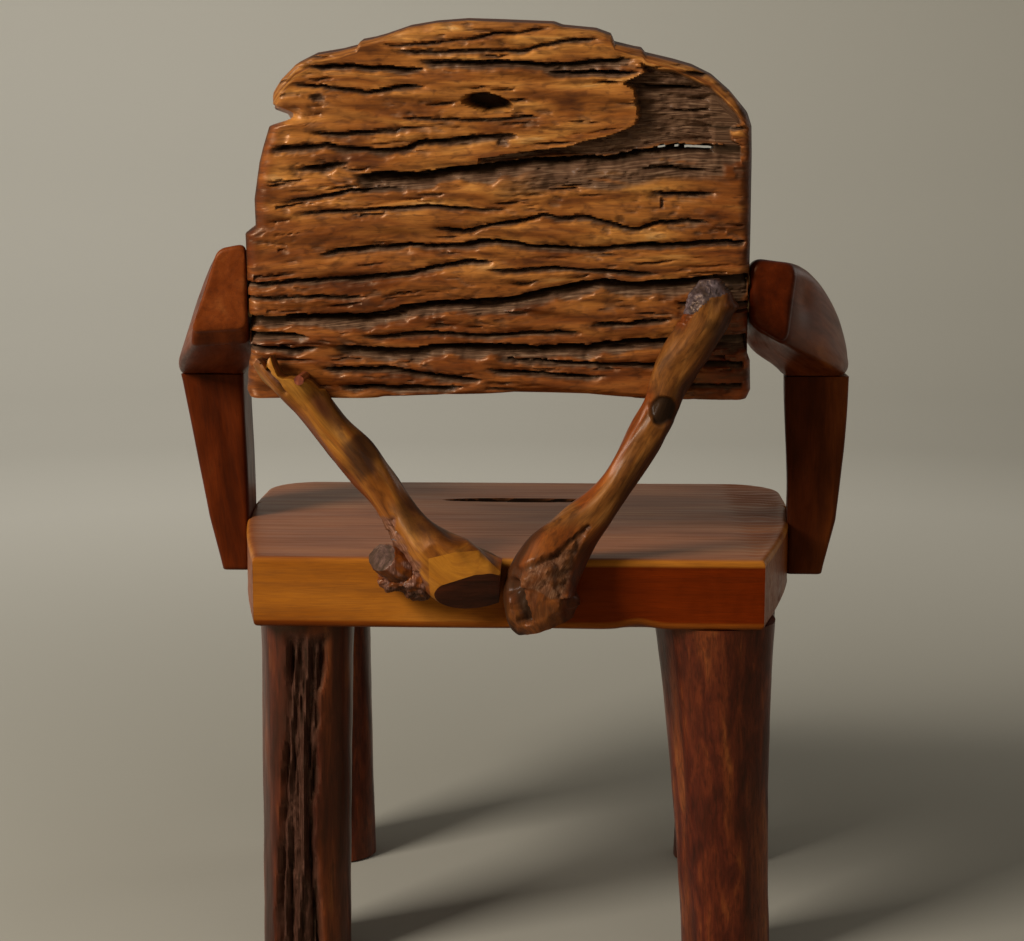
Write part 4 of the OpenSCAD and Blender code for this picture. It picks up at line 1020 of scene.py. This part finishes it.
def hewn(seed, turn, along, size=0.8):
    """Slow flats that a drawknife leaves, in mm, and never above the drawn surface."""
    a = math.tau * turn
    flats = wobble(seed, math.cos(a) * 1.3, math.sin(a) * 1.3, along / 45)
    fine = wobble(seed + 1, math.cos(a) * 5, math.sin(a) * 5, along / 22)
    return size * (0.6 + 0.55 * flats + 0.2 * fine)


def end_bulge(inward, size, roll):
    """How far an end stands out beyond its rim, at a share of the way from rim to middle."""
    return roll - edge_roll(inward * size, roll)


# %% Carve the arms
REAR_ROLL = {LEFT: 4.0, RIGHT: 9.0}
NOSE_ROLL = 12.0


def section_point(corners, r, turn):
    """Middle of a four-cornered section, and the way out from it to a point of its outline."""
    corners = [Vector(c) for c in corners]
    middle = sum(corners, Vector((0, 0))) / 4
    return middle, round_corners(corners, r, turn) - middle


def arm_place(side):
    def place(turn, run, inward):
        t = mix(run, smooth(0, 1, run), 0.5)
        y = mix(ARM_REAR_Y - REAR_ROLL[side], ARM_FRONT_Y + NOSE_ROLL, t)
        t = (ARM_REAR_Y - y) / ARM_LENGTH
        middle, out = section_point(arm_section(side, t), 9 if side == LEFT else 14, turn)
        size = out.length
        sunk = hewn(31 if side == LEFT else 33, turn, ARM_LENGTH * t) * smooth(0, 0.03, t)
        sunk += (2.4 if side == RIGHT else 0.8) * bell(turn, 0.55, 0.04) * bell(t, 0.13, 0.05)
        x, z = middle + out * (1 - inward) * (1 - sunk / size) * (1 - 0.08 * smooth(0.9, 1.0, t))
        if y > BACK_Y - BACK_T - 4:
            x = side * max(abs(x), BACK_HALF[side] + SEAM)
        if run == 0:
            y += end_bulge(inward, size, REAR_ROLL[side])
            y -= 0.6 * abs(wobble(36, x / 9, z / 9)) * smooth(0, 0.2, inward)
        if run == 1:
            y -= end_bulge(inward, size, NOSE_ROLL)
        # The right arm's rear end gets a deeper tone: painted shade on the chair's side away from the
        # key light.
        marks = {"margin": smooth(0.03, 0.0, t) if side == LEFT else 0.0,
                 "deep": 0.5 if side == LEFT else mix(1.0, 0.1, smooth(0.0, 0.1, t))}
        return (x, y, z), (middle[0], y, middle[1]), ARM_LENGTH * t, marks

    return place


# %% Carve the posts
FOOT_ROLL = 4.0
TOP_ROLL = 0.5


def post_place(side):
    def place(turn, run, inward):
        z = mix(POST_FOOT_Z + FOOT_ROLL, POST_TOP_Z - SEAM - TOP_ROLL, run)
        near, far = (side * post_in_x(side, s, z) for s in (POST_SET, POST_END))
        out_x = side * post_out_x(side, z)
        corners = ((near, POST_REAR_Y), (far, POST_FRONT_Y), (out_x, POST_FRONT_Y),
                   (out_x, POST_REAR_Y))
        middle, out = section_point(corners, 7, turn)
        sunk = hewn(37 if side == LEFT else 39, turn, z, 0.6) * smooth(0, 0.04, min(run, 1 - run))
        x, y = middle + out * (1 - inward) * (1 - sunk / out.length)
        if z < SEAT_H:
            x = side * max(abs(x), post_in_x(side, SEAT_REAR_Y - y, z))
        if run == 0:
            z -= end_bulge(inward, out.length, FOOT_ROLL)
        if run == 1:
            z += end_bulge(inward, out.length, TOP_ROLL)
        # The stain below is painted shade: the right post's inner rear corner is painted dark, and
        # its inner side a deeper tone.
        outward = clamp((abs(x) - abs(near)) / (abs(out_x) - abs(near)))
        rear = smooth(POST_Y_MID + 20, POST_REAR_Y, y)
        stain = mix(0.05, 0.35, smooth(0.6, 0.0, outward)) * rear
        marks = {"dark": stain if side == RIGHT else 0.0,
                 "deep": 0.75 if side == LEFT else mix(0.7, 0.1, smooth(0.3, 0.9, outward))}
        return (x, y, z), (middle[0], middle[1], z), z, marks

    return place


# %% Arm wood: a dense red-brown timber, hewn, scraped and polished
# The tool leaves long flats; the polish is darkest there, and thin and orange on end grain.
arm_wood = wood(
    "dense hardwood, hewn and polished",
    [(0.0, "#4A1F0A"), (0.45, "#6C3210"), (0.8, "#803F18"), (1.0, "#905022")], "#32120A",
    margin=[(0.0, "#7C3A12"), (0.6, "#985020"), (1.0, "#AA6630")], figure_mm=(24, 120),
    streak_mm=(5, 50), spotty=0.2, gloss=0.36, shine=0.14, coat=0.0, bump=0.12, streaky=0.35)

for name, side in (("left", LEFT), ("right", RIGHT)):
    finish_piece(bar(64, 90, arm_place(side)), name + "_arm_wood", "arm_wood", arm_wood)
    finish_piece(bar(64, 80, post_place(side)), name + "_arm_post_wood", "arm_wood", arm_wood)

# %% [markdown]
# ## The branch struts
# Two natural branches tie the back down to the seat. A branch is never round or straight: its centre
# line is a smooth curve through a few places, its width changes along it, and knots and flats follow
# the grain. Where it bears on the seat or the back it is cut flat. The left branch's foot is sawn
# with bisect_plane, and holes_fill closes the cut with a face of sawn end grain.

# %% Sizes of the branches
REAR_MAX_Y = SEAT_REAR_Y + 58
GAP_MID_Z = SEAT_H + 75
LEFT_BRANCH = [(231, 121, 15), (219, 112, 20), (203, 98, 22), (186, 74, 19), (167, 49, 18.5),
               (149, 29, 20), (133, 11, 19), (119, -7, 17.5), (106, -26, 18), (92, -46, 22),
               (74, -66, 28), (54, -81, 31), (34, -89, 30), (18, -92, 27), (6, -93, 23)]
RIGHT_BRANCH = [(-187, 191, 12), (-188, 177, 21), (-184, 158, 24), (-174, 137, 22), (-163, 117, 20.5),
                (-152, 96, 19), (-145, 73, 18), (-134, 50, 17.5), (-121, 27, 16.5), (-104, -1, 16.5),
                (-85, -25, 19), (-64, -47, 23), (-45, -70, 31), (-34, -94, 36), (-33, -116, 35),
                (-38, -133, 27)]


def bearing_y(z):
    """Plane that a branch bears on: the seat's rear face, then the back's rear plane."""
    back_plane = BACK_Y + (z - BACK_Z) * math.tan(LEAN) + SEAM
    if z >= BACK_Z:
        return back_plane
    between = mix(SEAT_REAR_Y + SEAM, BACK_Y + SEAM, (z - SEAT_H) / (BACK_Z - SEAT_H))
    return max(back_plane, between)


def branch_frame(path, run):
    """Centre of a branch with its half width, at a share of its length, and the way it runs."""
    here = spline(path, run)
    before = spline(path, max(0, run - 0.01))
    after = spline(path, min(1, run + 0.01))
    return here, Vector((after.x - before.x, after.y - before.y)).normalized()


def branch_place(path, twist, shape):
    """Shape(turn, run, x, z) gives a cut in mm and the marks at a place on the bark side."""
    length = sum(math.dist(a[:2], b[:2]) for a, b in zip(path, path[1:]))

    def place(turn, run, inward):
        here, going = branch_frame(path, run)
        wide, deep = here.z, 0.93 * here.z
        middle_z = GAP_MID_Z + here.y
        middle_y = bearing_y(middle_z) + 0.8 * deep
        i = run * (len(path) * 2 - 2)
        a = math.tau * turn
        lump = (1 + 0.05 * math.sin(2 * a + math.radians(twist * i))
                + 0.035 * math.sin(5 * a - math.radians(61 * i)))
        across, out = wide * lump * math.cos(a), deep * lump * math.sin(a)
        x, z = here.x + going.y * across, middle_z - going.x * across
        cut, marks = shape(turn, run, x, z)
        cut += 0.4 + 0.7 * wobble(twist, math.cos(a) * 1.2, math.sin(a) * 1.2, run * 14)
        cut += 0.25 * wobble(twist + 1, math.cos(a) * 5, math.sin(a) * 5, run * 22)
        keep = (1 - inward) * (1 - cut / wide)
        x, z = here.x + going.y * across * keep, middle_z - going.x * across * keep
        y = middle_y + out * keep
        bears = z < SEAT_H + 4 or z > BACK_Z - 4
        y = min(REAR_MAX_Y, max(bearing_y(z), y) if bears else y)
        return (x, y, z), (here.x, middle_y, middle_z), run * length, marks

    return place


def near_line(x, z, line):
    """Distance to a given line in the XZ plane, and the share of the way along it."""
    best = (1e9, 0.0)
    for i, (a, b) in enumerate(zip(line, line[1:])):
        a, b = Vector(a), Vector(b)
        t = clamp((Vector((x, z)) - a).dot(b - a) / (b - a).length_squared)
        best = min(best, ((Vector((x, z)) - a.lerp(b, t)).length, (i + t) / (len(line) - 1)))
    return best


def saw(bm, point, normal, slot):
    """Cuts off what lies beyond a plane and closes the cut with a face of its own material."""
    loop = bmesh.ops.bisect_plane(bm, geom=bm.verts[:] + bm.edges[:] + bm.faces[:], dist=1e-6,
                                  plane_co=Vector(point) * MM, plane_no=normal, clear_outer=True)
    rim = [g for g in loop["geom_cut"] if isinstance(g, bmesh.types.BMEdge)]
    for face in bmesh.ops.holes_fill(bm, edges=rim)["faces"]:
        face.material_index = slot


# %% Left branch: two prongs and a split at its top, a broken stub and a pared facet at its foot
SPLIT = [(229, 606), (222, 596), (213, 586), (207, 577)]
BARK_LINE = [(115, 456), (108, 443), (98, 430), (88, 417), (84, 406)]
PRONGS = [(178, 585), (185, 592), (191, 594.5), (204, 596.5), (209, 596), (214, 599), (219, 610),
          (221, 617), (223.5, 615), (225.5, 604), (229, 610), (234, 615), (241, 612), (246, 604)]


def left_shape(turn, run, x, z):
    upper = math.cos(math.tau * turn)
    rear = smooth(0.02, 0.12, turn) * smooth(0.48, 0.38, turn)
    gap, share = near_line(x, z, SPLIT)
    split = smooth(3.4, 1.2, gap + 1.4 * share) * rear * smooth(1, 0.9, share)
    bark = smooth(10, 6, near_line(x, z, BARK_LINE)[0] + 7 * wobble(43, x / 9, z / 9))
    bark *= smooth(0.0, 0.1, turn) * smooth(0.6, 0.48, turn)
    rough = bark * (1.5 + 3.5 * wobble(44, x / 8, z / 8) + 1.8 * wobble(45, x / 3, z / 3))
    hip = math.hypot((x - 136) / 20, (z - 524) / 25) + 0.3 * wobble(47, x / 12, z / 12)
    hip = smooth(1.25, 0.55, hip)
    shade = smooth(-0.3, 0.4, upper) * smooth(590, 570, z) * smooth(-0.5, 0.1, wobble(48, run * 9))
    shade *= smooth(438, 454, z)
    tip = smooth(600, 612, z)
    # The split is painted dark: painted shade in it.
    return 5.5 * split + max(0.0, rough), {
        "raw": max(split, 0.85 * bark, 0.6 * tip * smooth(226, 232, x)),
        "dark": max(0.4 * split, 0.5 * smooth(0.62, 0.75, turn), 0.75 * hip, 0.62 * shade,
                    0.35 * smooth(-0.75, -0.95, upper) * (1 - tip)),
        "margin": max(smooth(0.2, 0.5, wobble(46, run * 7, turn * 4)),
                      smooth(-0.6, -0.85, upper) * smooth(585, 560, z)) * (1 - bark),
        "deep": max(0.3, 0.5 * shade, 0.6 * hip) * smooth(618, 560, z)}


def burl(bm, centre, size, tilt, lumps, seed):
    """A knob of burl: an icosphere pulled into lumps. Its long axis is tilted up from the seat."""
    marks = bm.verts.layers.float
    grain = bm.verts.layers.float_vector["grain"]
    made = bmesh.ops.create_icosphere(bm, subdivisions=5, radius=1)["verts"]
    for vert in made:
        n = vert.co.copy()
        r = 1 + lumps * (wobble(seed, *(n * 1.6)) + 0.5 * wobble(seed + 1, *(n * 4))
                         + 0.22 * wobble(seed + 2, *(n * 10)))
        out = Vector([c * s * r for c, s in zip(n, size)])
        point = Vector(centre) + Matrix.Rotation(-math.radians(tilt), 3, "Y") @ out
        point.y = min(max(point.y, bearing_y(point.z)), REAR_MAX_Y)
        vert[marks["raw"]] = smooth(-0.1, 0.25, wobble(seed + 3, *(n * 2.2)) + 0.1)
        # The underside of each knob is painted dark: painted shade under it.
        vert[marks["dark"]] = 0.5 * smooth(0.2, -0.6, n.z)
        vert[marks["deep"]] = 0.8
        vert[grain] = point * MM
        vert.co = point * MM


def pare(bm, point, normal, reach, slot):
    """Pares a facet with a knife: points that lie beyond the plane, and no further off than reach,
    drop onto it."""
    point, normal = Vector(point), Vector(normal).normalized()
    pared = set()
    for vert in bm.verts:
        beyond = (vert.co / MM - point).dot(normal)
        if beyond > -0.3 and (vert.co / MM - point).length < reach:
            vert.co -= normal * max(0.0, beyond) * MM
            pared.add(vert)
    for face in bm.faces:
        if pared.issuperset(face.verts):
            face.material_index = slot


# A patch of bare wood is looked for within this distance of each corner of its outline.
PATCH_REACH = 90
PATCH_Y = 220


def inside(x, z, outline):
    """Whether a place lies in a convex outline whose corners run clockwise, seen from the rear."""
    return all((b[0] - a[0]) * (z - a[1]) - (b[1] - a[1]) * (x - a[0]) >= 0
               for a, b in zip(outline, outline[1:] + outline[:1]))


def bare_patch(bm, outline, least_y, slot):
    """Gives another surface to what lies inside an outline in the XZ plane. The mesh is cut along
    the outline for a clean edge."""
    for a, b in zip(outline, outline[1:] + outline[:1]):
        corner = Vector((a[0], PATCH_Y, a[1]))
        close = [f for f in bm.faces
                 if (f.calc_center_median() / MM - corner).length < PATCH_REACH]
        near = {g for f in close for g in (*f.verts, *f.edges, f)}
        bmesh.ops.bisect_plane(bm, geom=list(near), dist=1e-7, plane_co=corner * MM,
                               plane_no=(a[1] - b[1], 0, b[0] - a[0]))
    for face in bm.faces:
        x, y, z = face.calc_center_median() / MM
        if y > least_y and face.material_index == 0 and inside(x, z, outline):
            face.material_index = slot


FACET = [(72, 428), (48, 434), (26, 434), (4, 414), (30, 398), (62, 384), (71, 390)]


def left_branch():
    bm = bar(64, 210, branch_place(LEFT_BRANCH, 37, left_shape))
    for vert in bm.verts:
        x, _, z = vert.co / MM
        over = z - lookup(PRONGS, x) + 4
        if z > 575 and over > 0:
            vert.co.z = (z - 0.93 * over) * MM
    pare(bm, (44, 246.5, 418), (0.03, 0.985, 0.16), 42, 0)
    saw(bm, (34, 250, 415), (-0.2, 0.8, -0.56), 1)
    bare_patch(bm, FACET, 232, 2)
    burl(bm, (84, 224, 402), (17, 15, 17), 20, 0.3, 57)
    burl(bm, (102, 220, 403), (21, 17, 12), 0, 0.26, 55)
    burl(bm, (107, 224, 418), (27, 18, 16), 34, 0.14, 51)
    pare(bm, (118, 228, 426), (0.5, 0.62, 0.6), 22, 3)
    return bm


# %% Right branch: an oval knot, a grey broken cap, and a hollow foot with bark in it
HOLLOW = [(-6, 404), (-10, 390), (-18, 374)]
CREASE = [(-76, 456), (-52, 436), (-31, 428), (-11, 418), (0, 396)]
BARK_LIP = [(-60, 393), (-44, 393), (-28, 402), (-13, 404)]
GOLDEN_STRIP = [(392, -57), (430, -67), (456, -79)]
CAP_EDGE = [(-206, 676), (-196, 672), (-188, 671), (-178, 663), (-170, 654), (-164, 647)]


def right_shape(turn, run, x, z):
    right = math.cos(math.tau * turn)
    rear = smooth(0.02, 0.1, turn) * smooth(0.48, 0.4, turn)
    knot = math.hypot((x + 147) / 15, (z - 563.5) / 14.5) + 0.12 * wobble(61, x / 7, z / 7)
    knot = smooth(1.05, 0.85, knot) * rear
    cap = smooth(-1, 2, z - lookup(CAP_EDGE, x) + 3 * wobble(62, x / 5))
    foot = smooth(462, 452, z)
    gap = near_line(x, z, CREASE)[0]
    crease = smooth(3.6, 1.0, gap + 1.6 * wobble(64, x / 5, z / 5)) * rear
    below, above = lookup(CREASE, x) - z, z - lookup(BARK_LIP, x)
    bark = smooth(0, 3, below) * smooth(-1, 1, above) * rear
    bark *= smooth(0, 4, x - lookup(GOLDEN_STRIP, z))
    bark *= smooth(-6, -13, x)
    lobe = smooth(1, -1, above) * foot * rear * smooth(-4, -10, x)
    gap = near_line(x, z, HOLLOW)[0]
    hollow = smooth(8, 4, gap + 2 * wobble(64, x / 5, z / 5)) * rear
    flute = wobble(65, right * 1.6, math.sin(math.tau * turn) * 1.6, run * 2)
    flute = smooth(0.2, 0.6, flute) * (1 - foot)
    lumps = 3.0 + 6 * wobble(66, x / 14, z / 10) + 2.6 * wobble(67, x / 5, z / 5)
    lumps += wobble(69, x / 2, z / 2)
    folds = 5.5 * smooth(-32, -2, above) + 3 * abs(wobble(70, x / 11, z / 40))
    folds += 2 * wobble(67, x / 8, z / 11)
    spike = 5 * bell(z, 662, 5) * smooth(0.5, 1.0, right)
    broken = cap * (1.5 + 3 * abs(wobble(71, x / 4, z / 4)))
    rough = bark * lumps + lobe * folds + 3.5 * crease + broken
    pits = smooth(0.05, -0.3, wobble(66, x / 14, z / 10))
    # The side of the branch away from the key light is painted darker and deeper: painted shade. The
    # crease and the hollow are painted dark: painted shade in them. The knot is dark wood.
    return 3.5 * knot + max(0.0, rough) + 9 * hollow + 0.8 * flute - spike, {
        "raw": max(bark * mix(0.75, 0.35, pits), 0.12 * lobe, 0.3 * hollow),
        "dark": max(0.95 * knot, 0.9 * hollow, 0.65 * crease, 0.55 * smooth(0.62, 0.75, turn),
                    0.2 * bark, 0.45 * smooth(0.45, 0.9, right), 0.15 * lobe,
                    0.8 * foot * smooth(-0.7, -0.92, right),
                    0.45 * smooth(0.2, 0.55, wobble(72, run * 16, turn * 3))),
        "margin": max(0.6 * foot, smooth(-0.45, -0.8, right)
                      * smooth(0.0, 0.2, 0.2 + wobble(73, run * 8))),
        "deep": max(0.45, 0.9 * smooth(0.3, 0.8, right), 0.4 * lobe)}


def right_branch():
    bm = bar(80, 300, branch_place(RIGHT_BRANCH, 53, right_shape))
    for face in bm.faces:
        x, _, z = face.calc_center_median() / MM
        if z > lookup(CAP_EDGE, x) + 2 * wobble(62, x / 5) and z > 655:
            face.material_index = 1
    return bm


# %% Branch woods: bark off, hand-smoothed and oiled, so that the pale sapwood glows
pale_branch = wood(
    "peeled branch, pale sapwood, smoothed and oiled",
    [(0.0, "#683812"), (0.4, "#90541B"), (0.7, "#A86C22"), (1.0, "#B87E30")], "#4A260C",
    margin=[(0.0, "#64301A"), (0.6, "#86441F"), (1.0, "#9C5C2C")],
    raw=[(0.0, "#2E1710"), (0.5, "#603A2C"), (1.0, "#946A58")], figure_mm=(14, 70),
    streak_mm=(3, 40), spotty=0.45, gloss=0.36, shine=0.35, streaky=0.55)
dark_branch = wood(
    "peeled branch, heartwood, smoothed and oiled",
    [(0.0, "#5A3216"), (0.4, "#81501F"), (0.7, "#976228"), (1.0, "#A87436")], "#3A1E0C",
    margin=[(0.0, "#74340E"), (0.6, "#984E14"), (1.0, "#B0641E")],
    raw=[(0.0, "#2C1810"), (0.5, "#6A442E"), (1.0, "#9A7456")], figure_mm=(12, 60),
    streak_mm=(3, 30), spot_mm=(5, 14), spotty=0.5, gloss=0.44, shine=0.28, streaky=0.6)
# The sawn end faces down into shade: its dark tones are the end grain's own darker colour and painted
# shade.
sawn_end = wood("sawn end grain, dark, with painted shade",
                [(0.0, "#34130A"), (0.6, "#542410"), (1.0, "#6E381A")], "#1E0A05",
                gloss=0.45, shine=0.2)
sapwood_facet = wood("sapwood facet cut with a knife, oiled",
                     [(0.0, "#935A18"), (0.5, "#AC6E1E"), (1.0, "#BC802A")], "#804C18",
                     gloss=0.34, shine=0.25)
silvered = wood("broken wood, silvered by the weather",
                [(0.0, "#2C2628"), (0.5, "#5C5356"), (1.0, "#94898A")], "#1E1818", spotty=0.7,
                spot_mm=(2.5, 5), figure_mm=(6, 14), gloss=0.4, shine=0.5, bump=0.6)

finish_piece(left_branch(), "left_strut_wood", "pale_branch",
             pale_branch, sawn_end, sapwood_facet, silvered)
finish_piece(right_branch(), "right_strut_wood", "dark_branch", dark_branch, silvered)

# %% [markdown]
# ## The legs
# Each leg is a length of log, shaved with a drawknife, so that its section is a little uneven. The
# rear left one has lost a strip of wood to the weather: a hollow with long grooves and ridges runs
# down its rear. The bar closes at the foot with a flat sawn end.

# %% Sizes of the legs: centre across and in from the rear, lean, radius at top and foot, hollow
LEG_TOP_Z = SEAT_H - SEAT_T
LEGS = {"rear_left": (201, 60, 5, 47, 45, True), "rear_right": (-202, 60, -16, 59, 44, False),
        "front_left": (219, 352, -7, 48, 46, False), "front_right": (-237, 352, 9, 56, 50, False)}
FOOT_CHAMFER = 3.0
# Grooves and ridges down the hollow: depth or height, half width, and how far they lie across from
# the leg's middle at four shares of the way down.
HOLLOW_ROWS = (0.02, 0.33, 0.66, 1.0)
GROOVES = [(6.0, 2.4, (-27, -17, -9, -20)), (5.5, 2.6, (10, 15, 22, 24)), (3.5, 2.0, (0, 8, 12, 14)),
           (3.5, 1.8, (-12, -8, -16, -12)), (2.2, 1.4, (-6, 2, 4, -2))]
RIDGES = [(5.0, 2.8, (-8, -2, -2, 6)), (3.0, 3.0, (4, 12, 16, 20)), (2.5, 2.4, (-18, -12, -13, -16))]


def down_hollow(places, down):
    return lookup(list(zip(HOLLOW_ROWS, places)), down)


def hollow_place(across, down):
    """Depth, rawness and darkness in the weathered hollow, for a share of the way down the leg."""
    middle = down_hollow((-7, 0, 5, 1.5), down) + 3 * wobble(70, down * 12)
    half = lookup([(0.02, 22), (0.33, 16), (0.56, 18), (1.0, 25)], down)
    half += 5 * wobble(71, down * 11)
    within = smooth(half + 2, half - 4, abs(across - middle)) * smooth(0.015, 0.06, down)
    deep, dark = 5.5 * within, 0.0
    for depth, wide, places in GROOVES:
        centre = down_hollow(places, down) + 1.2 * wobble(72 + wide, down * 12)
        line = bell(across, centre, wide) * smooth(0.03, 0.09, down)
        line *= clamp(0.7 + 1.4 * wobble(74 + wide, down * 6))
        deep += depth * line * within
        dark = max(dark, line * within)
    for height, wide, places in RIDGES:
        deep -= height * within * bell(across, down_hollow(places, down), wide)
    fibre = abs(wobble(76, across / 1.6, down * 9))
    fibre += 0.6 * abs(wobble(77, across / 3.5, down * 14))
    chunks = 2.6 * wobble(78, across / 5, down * 20) + 1.2 * wobble(79, across / 2.5, down * 55)
    # The grooves, and less the whole hollow, are painted dark: painted shade in them.
    return max(0.0, deep + within * (1.2 * fibre + chunks)), within, max(dark, 0.4 * within)


def leg_place(name, seed):
    top_x, set_back, lean, top_r, foot_r, hollow = LEGS[name]

    def place(turn, run, inward):
        z = mix(0, LEG_TOP_Z, run)
        x0, y0 = top_x + lean * (1 - run), SEAT_REAR_Y - set_back
        a = math.tau * turn
        r = mix(foot_r, top_r, run * run)
        shaved = (1 + 0.018 * math.sin(4 * a + math.radians(top_x))
                  + 0.012 * math.sin(7 * a + math.radians(160 * run)))
        cut = hewn(seed, turn, z, 1.0) * smooth(0, 0.1, 1 - run)
        redder = wobble(seed + 2, math.cos(a) * 2.2, math.sin(a) * 2.2, z / 160)
        marks = {"margin": smooth(0.05, 0.5, redder)}
        if hollow and math.sin(a) > 0:
            deep, marks["raw"], marks["dark"] = hollow_place(r * math.cos(a), 1 - run)
            cut += deep
        r = (r * shaved - cut - edge_roll(z, FOOT_CHAMFER)) * (1 - inward)
        return (x0 + r * math.cos(a), y0 + r * math.sin(a), z), (x0, y0, z), z, marks

    return place


# %% Leg woods: log shaved by hand, stained dark red and waxed
leg_wood = wood(
    "log, shaved, stained dark red and waxed",
    [(0.0, "#300F0A"), (0.4, "#4C1B10"), (0.75, "#662A15"), (1.0, "#80401C")], "#260C08",
    margin=[(0.0, "#5A2410"), (0.6, "#7A3A18"), (1.0, "#8E5024")], figure_mm=(12, 52),
    streak_mm=(2.2, 20), spot_mm=(3.5, 12), spotty=0.5, gloss=0.35, coat=0.08, bump=0.35)
weathered_leg = wood(
    "log, shaved and waxed, with a weathered hollow",
    [(0.0, "#260E09"), (0.4, "#3A160D"), (0.75, "#4E2012"), (1.0, "#6A3216")], "#1E0A06",
    margin=[(0.0, "#4A1E0E"), (0.6, "#6A3014"), (1.0, "#80461E")],
    raw=[(0.0, "#1C0C08"), (0.5, "#40221A"), (1.0, "#6C4638")], figure_mm=(13, 90),
    streak_mm=(2.4, 36), gloss=0.33, coat=0.08, bump=0.35)

for seed, name in enumerate(LEGS):
    slot = "weathered_leg" if name == "rear_left" else "leg_wood"
    leg = bar(128, 150, leg_place(name, 81 + 4 * seed))
    finish_piece(leg, name + "_leg_wood", slot, weathered_leg if name == "rear_left" else leg_wood)

# %% [markdown]
# ## Dowels, wedges and the peg
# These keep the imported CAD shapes, which are true turned cylinders and sawn wedges. They only get a
# wood of their own, read in Object coordinates because their meshes carry no grain.

# %% Woods of the hidden joinery
def plain_wood(name, tones, streak, axis, gloss):
    """Turned wood without marks: a slow figure, and fine lines that also roughen it."""
    material, tree, shader = new_material(name)
    place = add(tree, "TexCoord", out="Object")
    figure = add(tree, "MapRange", [grain_noise(tree, place, 5, 60, axis, 3.0, 0.3), 0.3, 0.7])
    lines = grain_noise(tree, place, 0.7, 20, axis, 3.0)
    stain = add(tree, "MapRange", [lines, 0.45, 0.75, 0.0, 0.5])
    colour = add(tree, "ValToRGB", [figure], tones)
    feed(tree, shader, {
        "Base Color": add(tree, "Mix", {0: stain, 6: colour, 7: streak}, **AS_COLOUR),
        "Normal": add(tree, "Bump", {"Height": lines, "Strength": 0.3, "Distance": 0.3 * MM}),
        "Roughness": add(tree, "MapRange", [lines, 0.3, 0.7, gloss, gloss + 0.12]),
        "IOR": WOOD_IOR})
    return material


BEECH = [(0.0, "#A87E4C"), (0.5, "#BC945E"), (1.0, "#CBA874")]
PEG_TONES = [(0.0, "#5A2210"), (0.6, "#7C3618"), (1.0, "#9A5230")]
grain_of_node = {"wedge": 2, "arm_upper_dowel": 0, "arm_lower_dowel": 0, "post_rear_dowel": 0,
                 "post_front_dowel": 0, "strut_dowel": 1, "foot_dowel": 1, "strut_peg": 1}
woods_by_axis = {axis: plain_wood("turned beech, grain along " + "xyz"[axis], BEECH, "#8A6236",
                                  axis, 0.5) for axis in (0, 1, 2)}
peg_wood = plain_wood("turned hardwood peg, oiled", PEG_TONES, "#3C160A", 1, 0.35)
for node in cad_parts:
    for ending, axis in grain_of_node.items():
        if node.endswith(ending):
            wood_of_node = peg_wood if ending == "strut_peg" else woods_by_axis[axis]
            bpy.data.objects[node].material_slots[0].material = wood_of_node
            print(node, "grain along", "xyz"[axis])
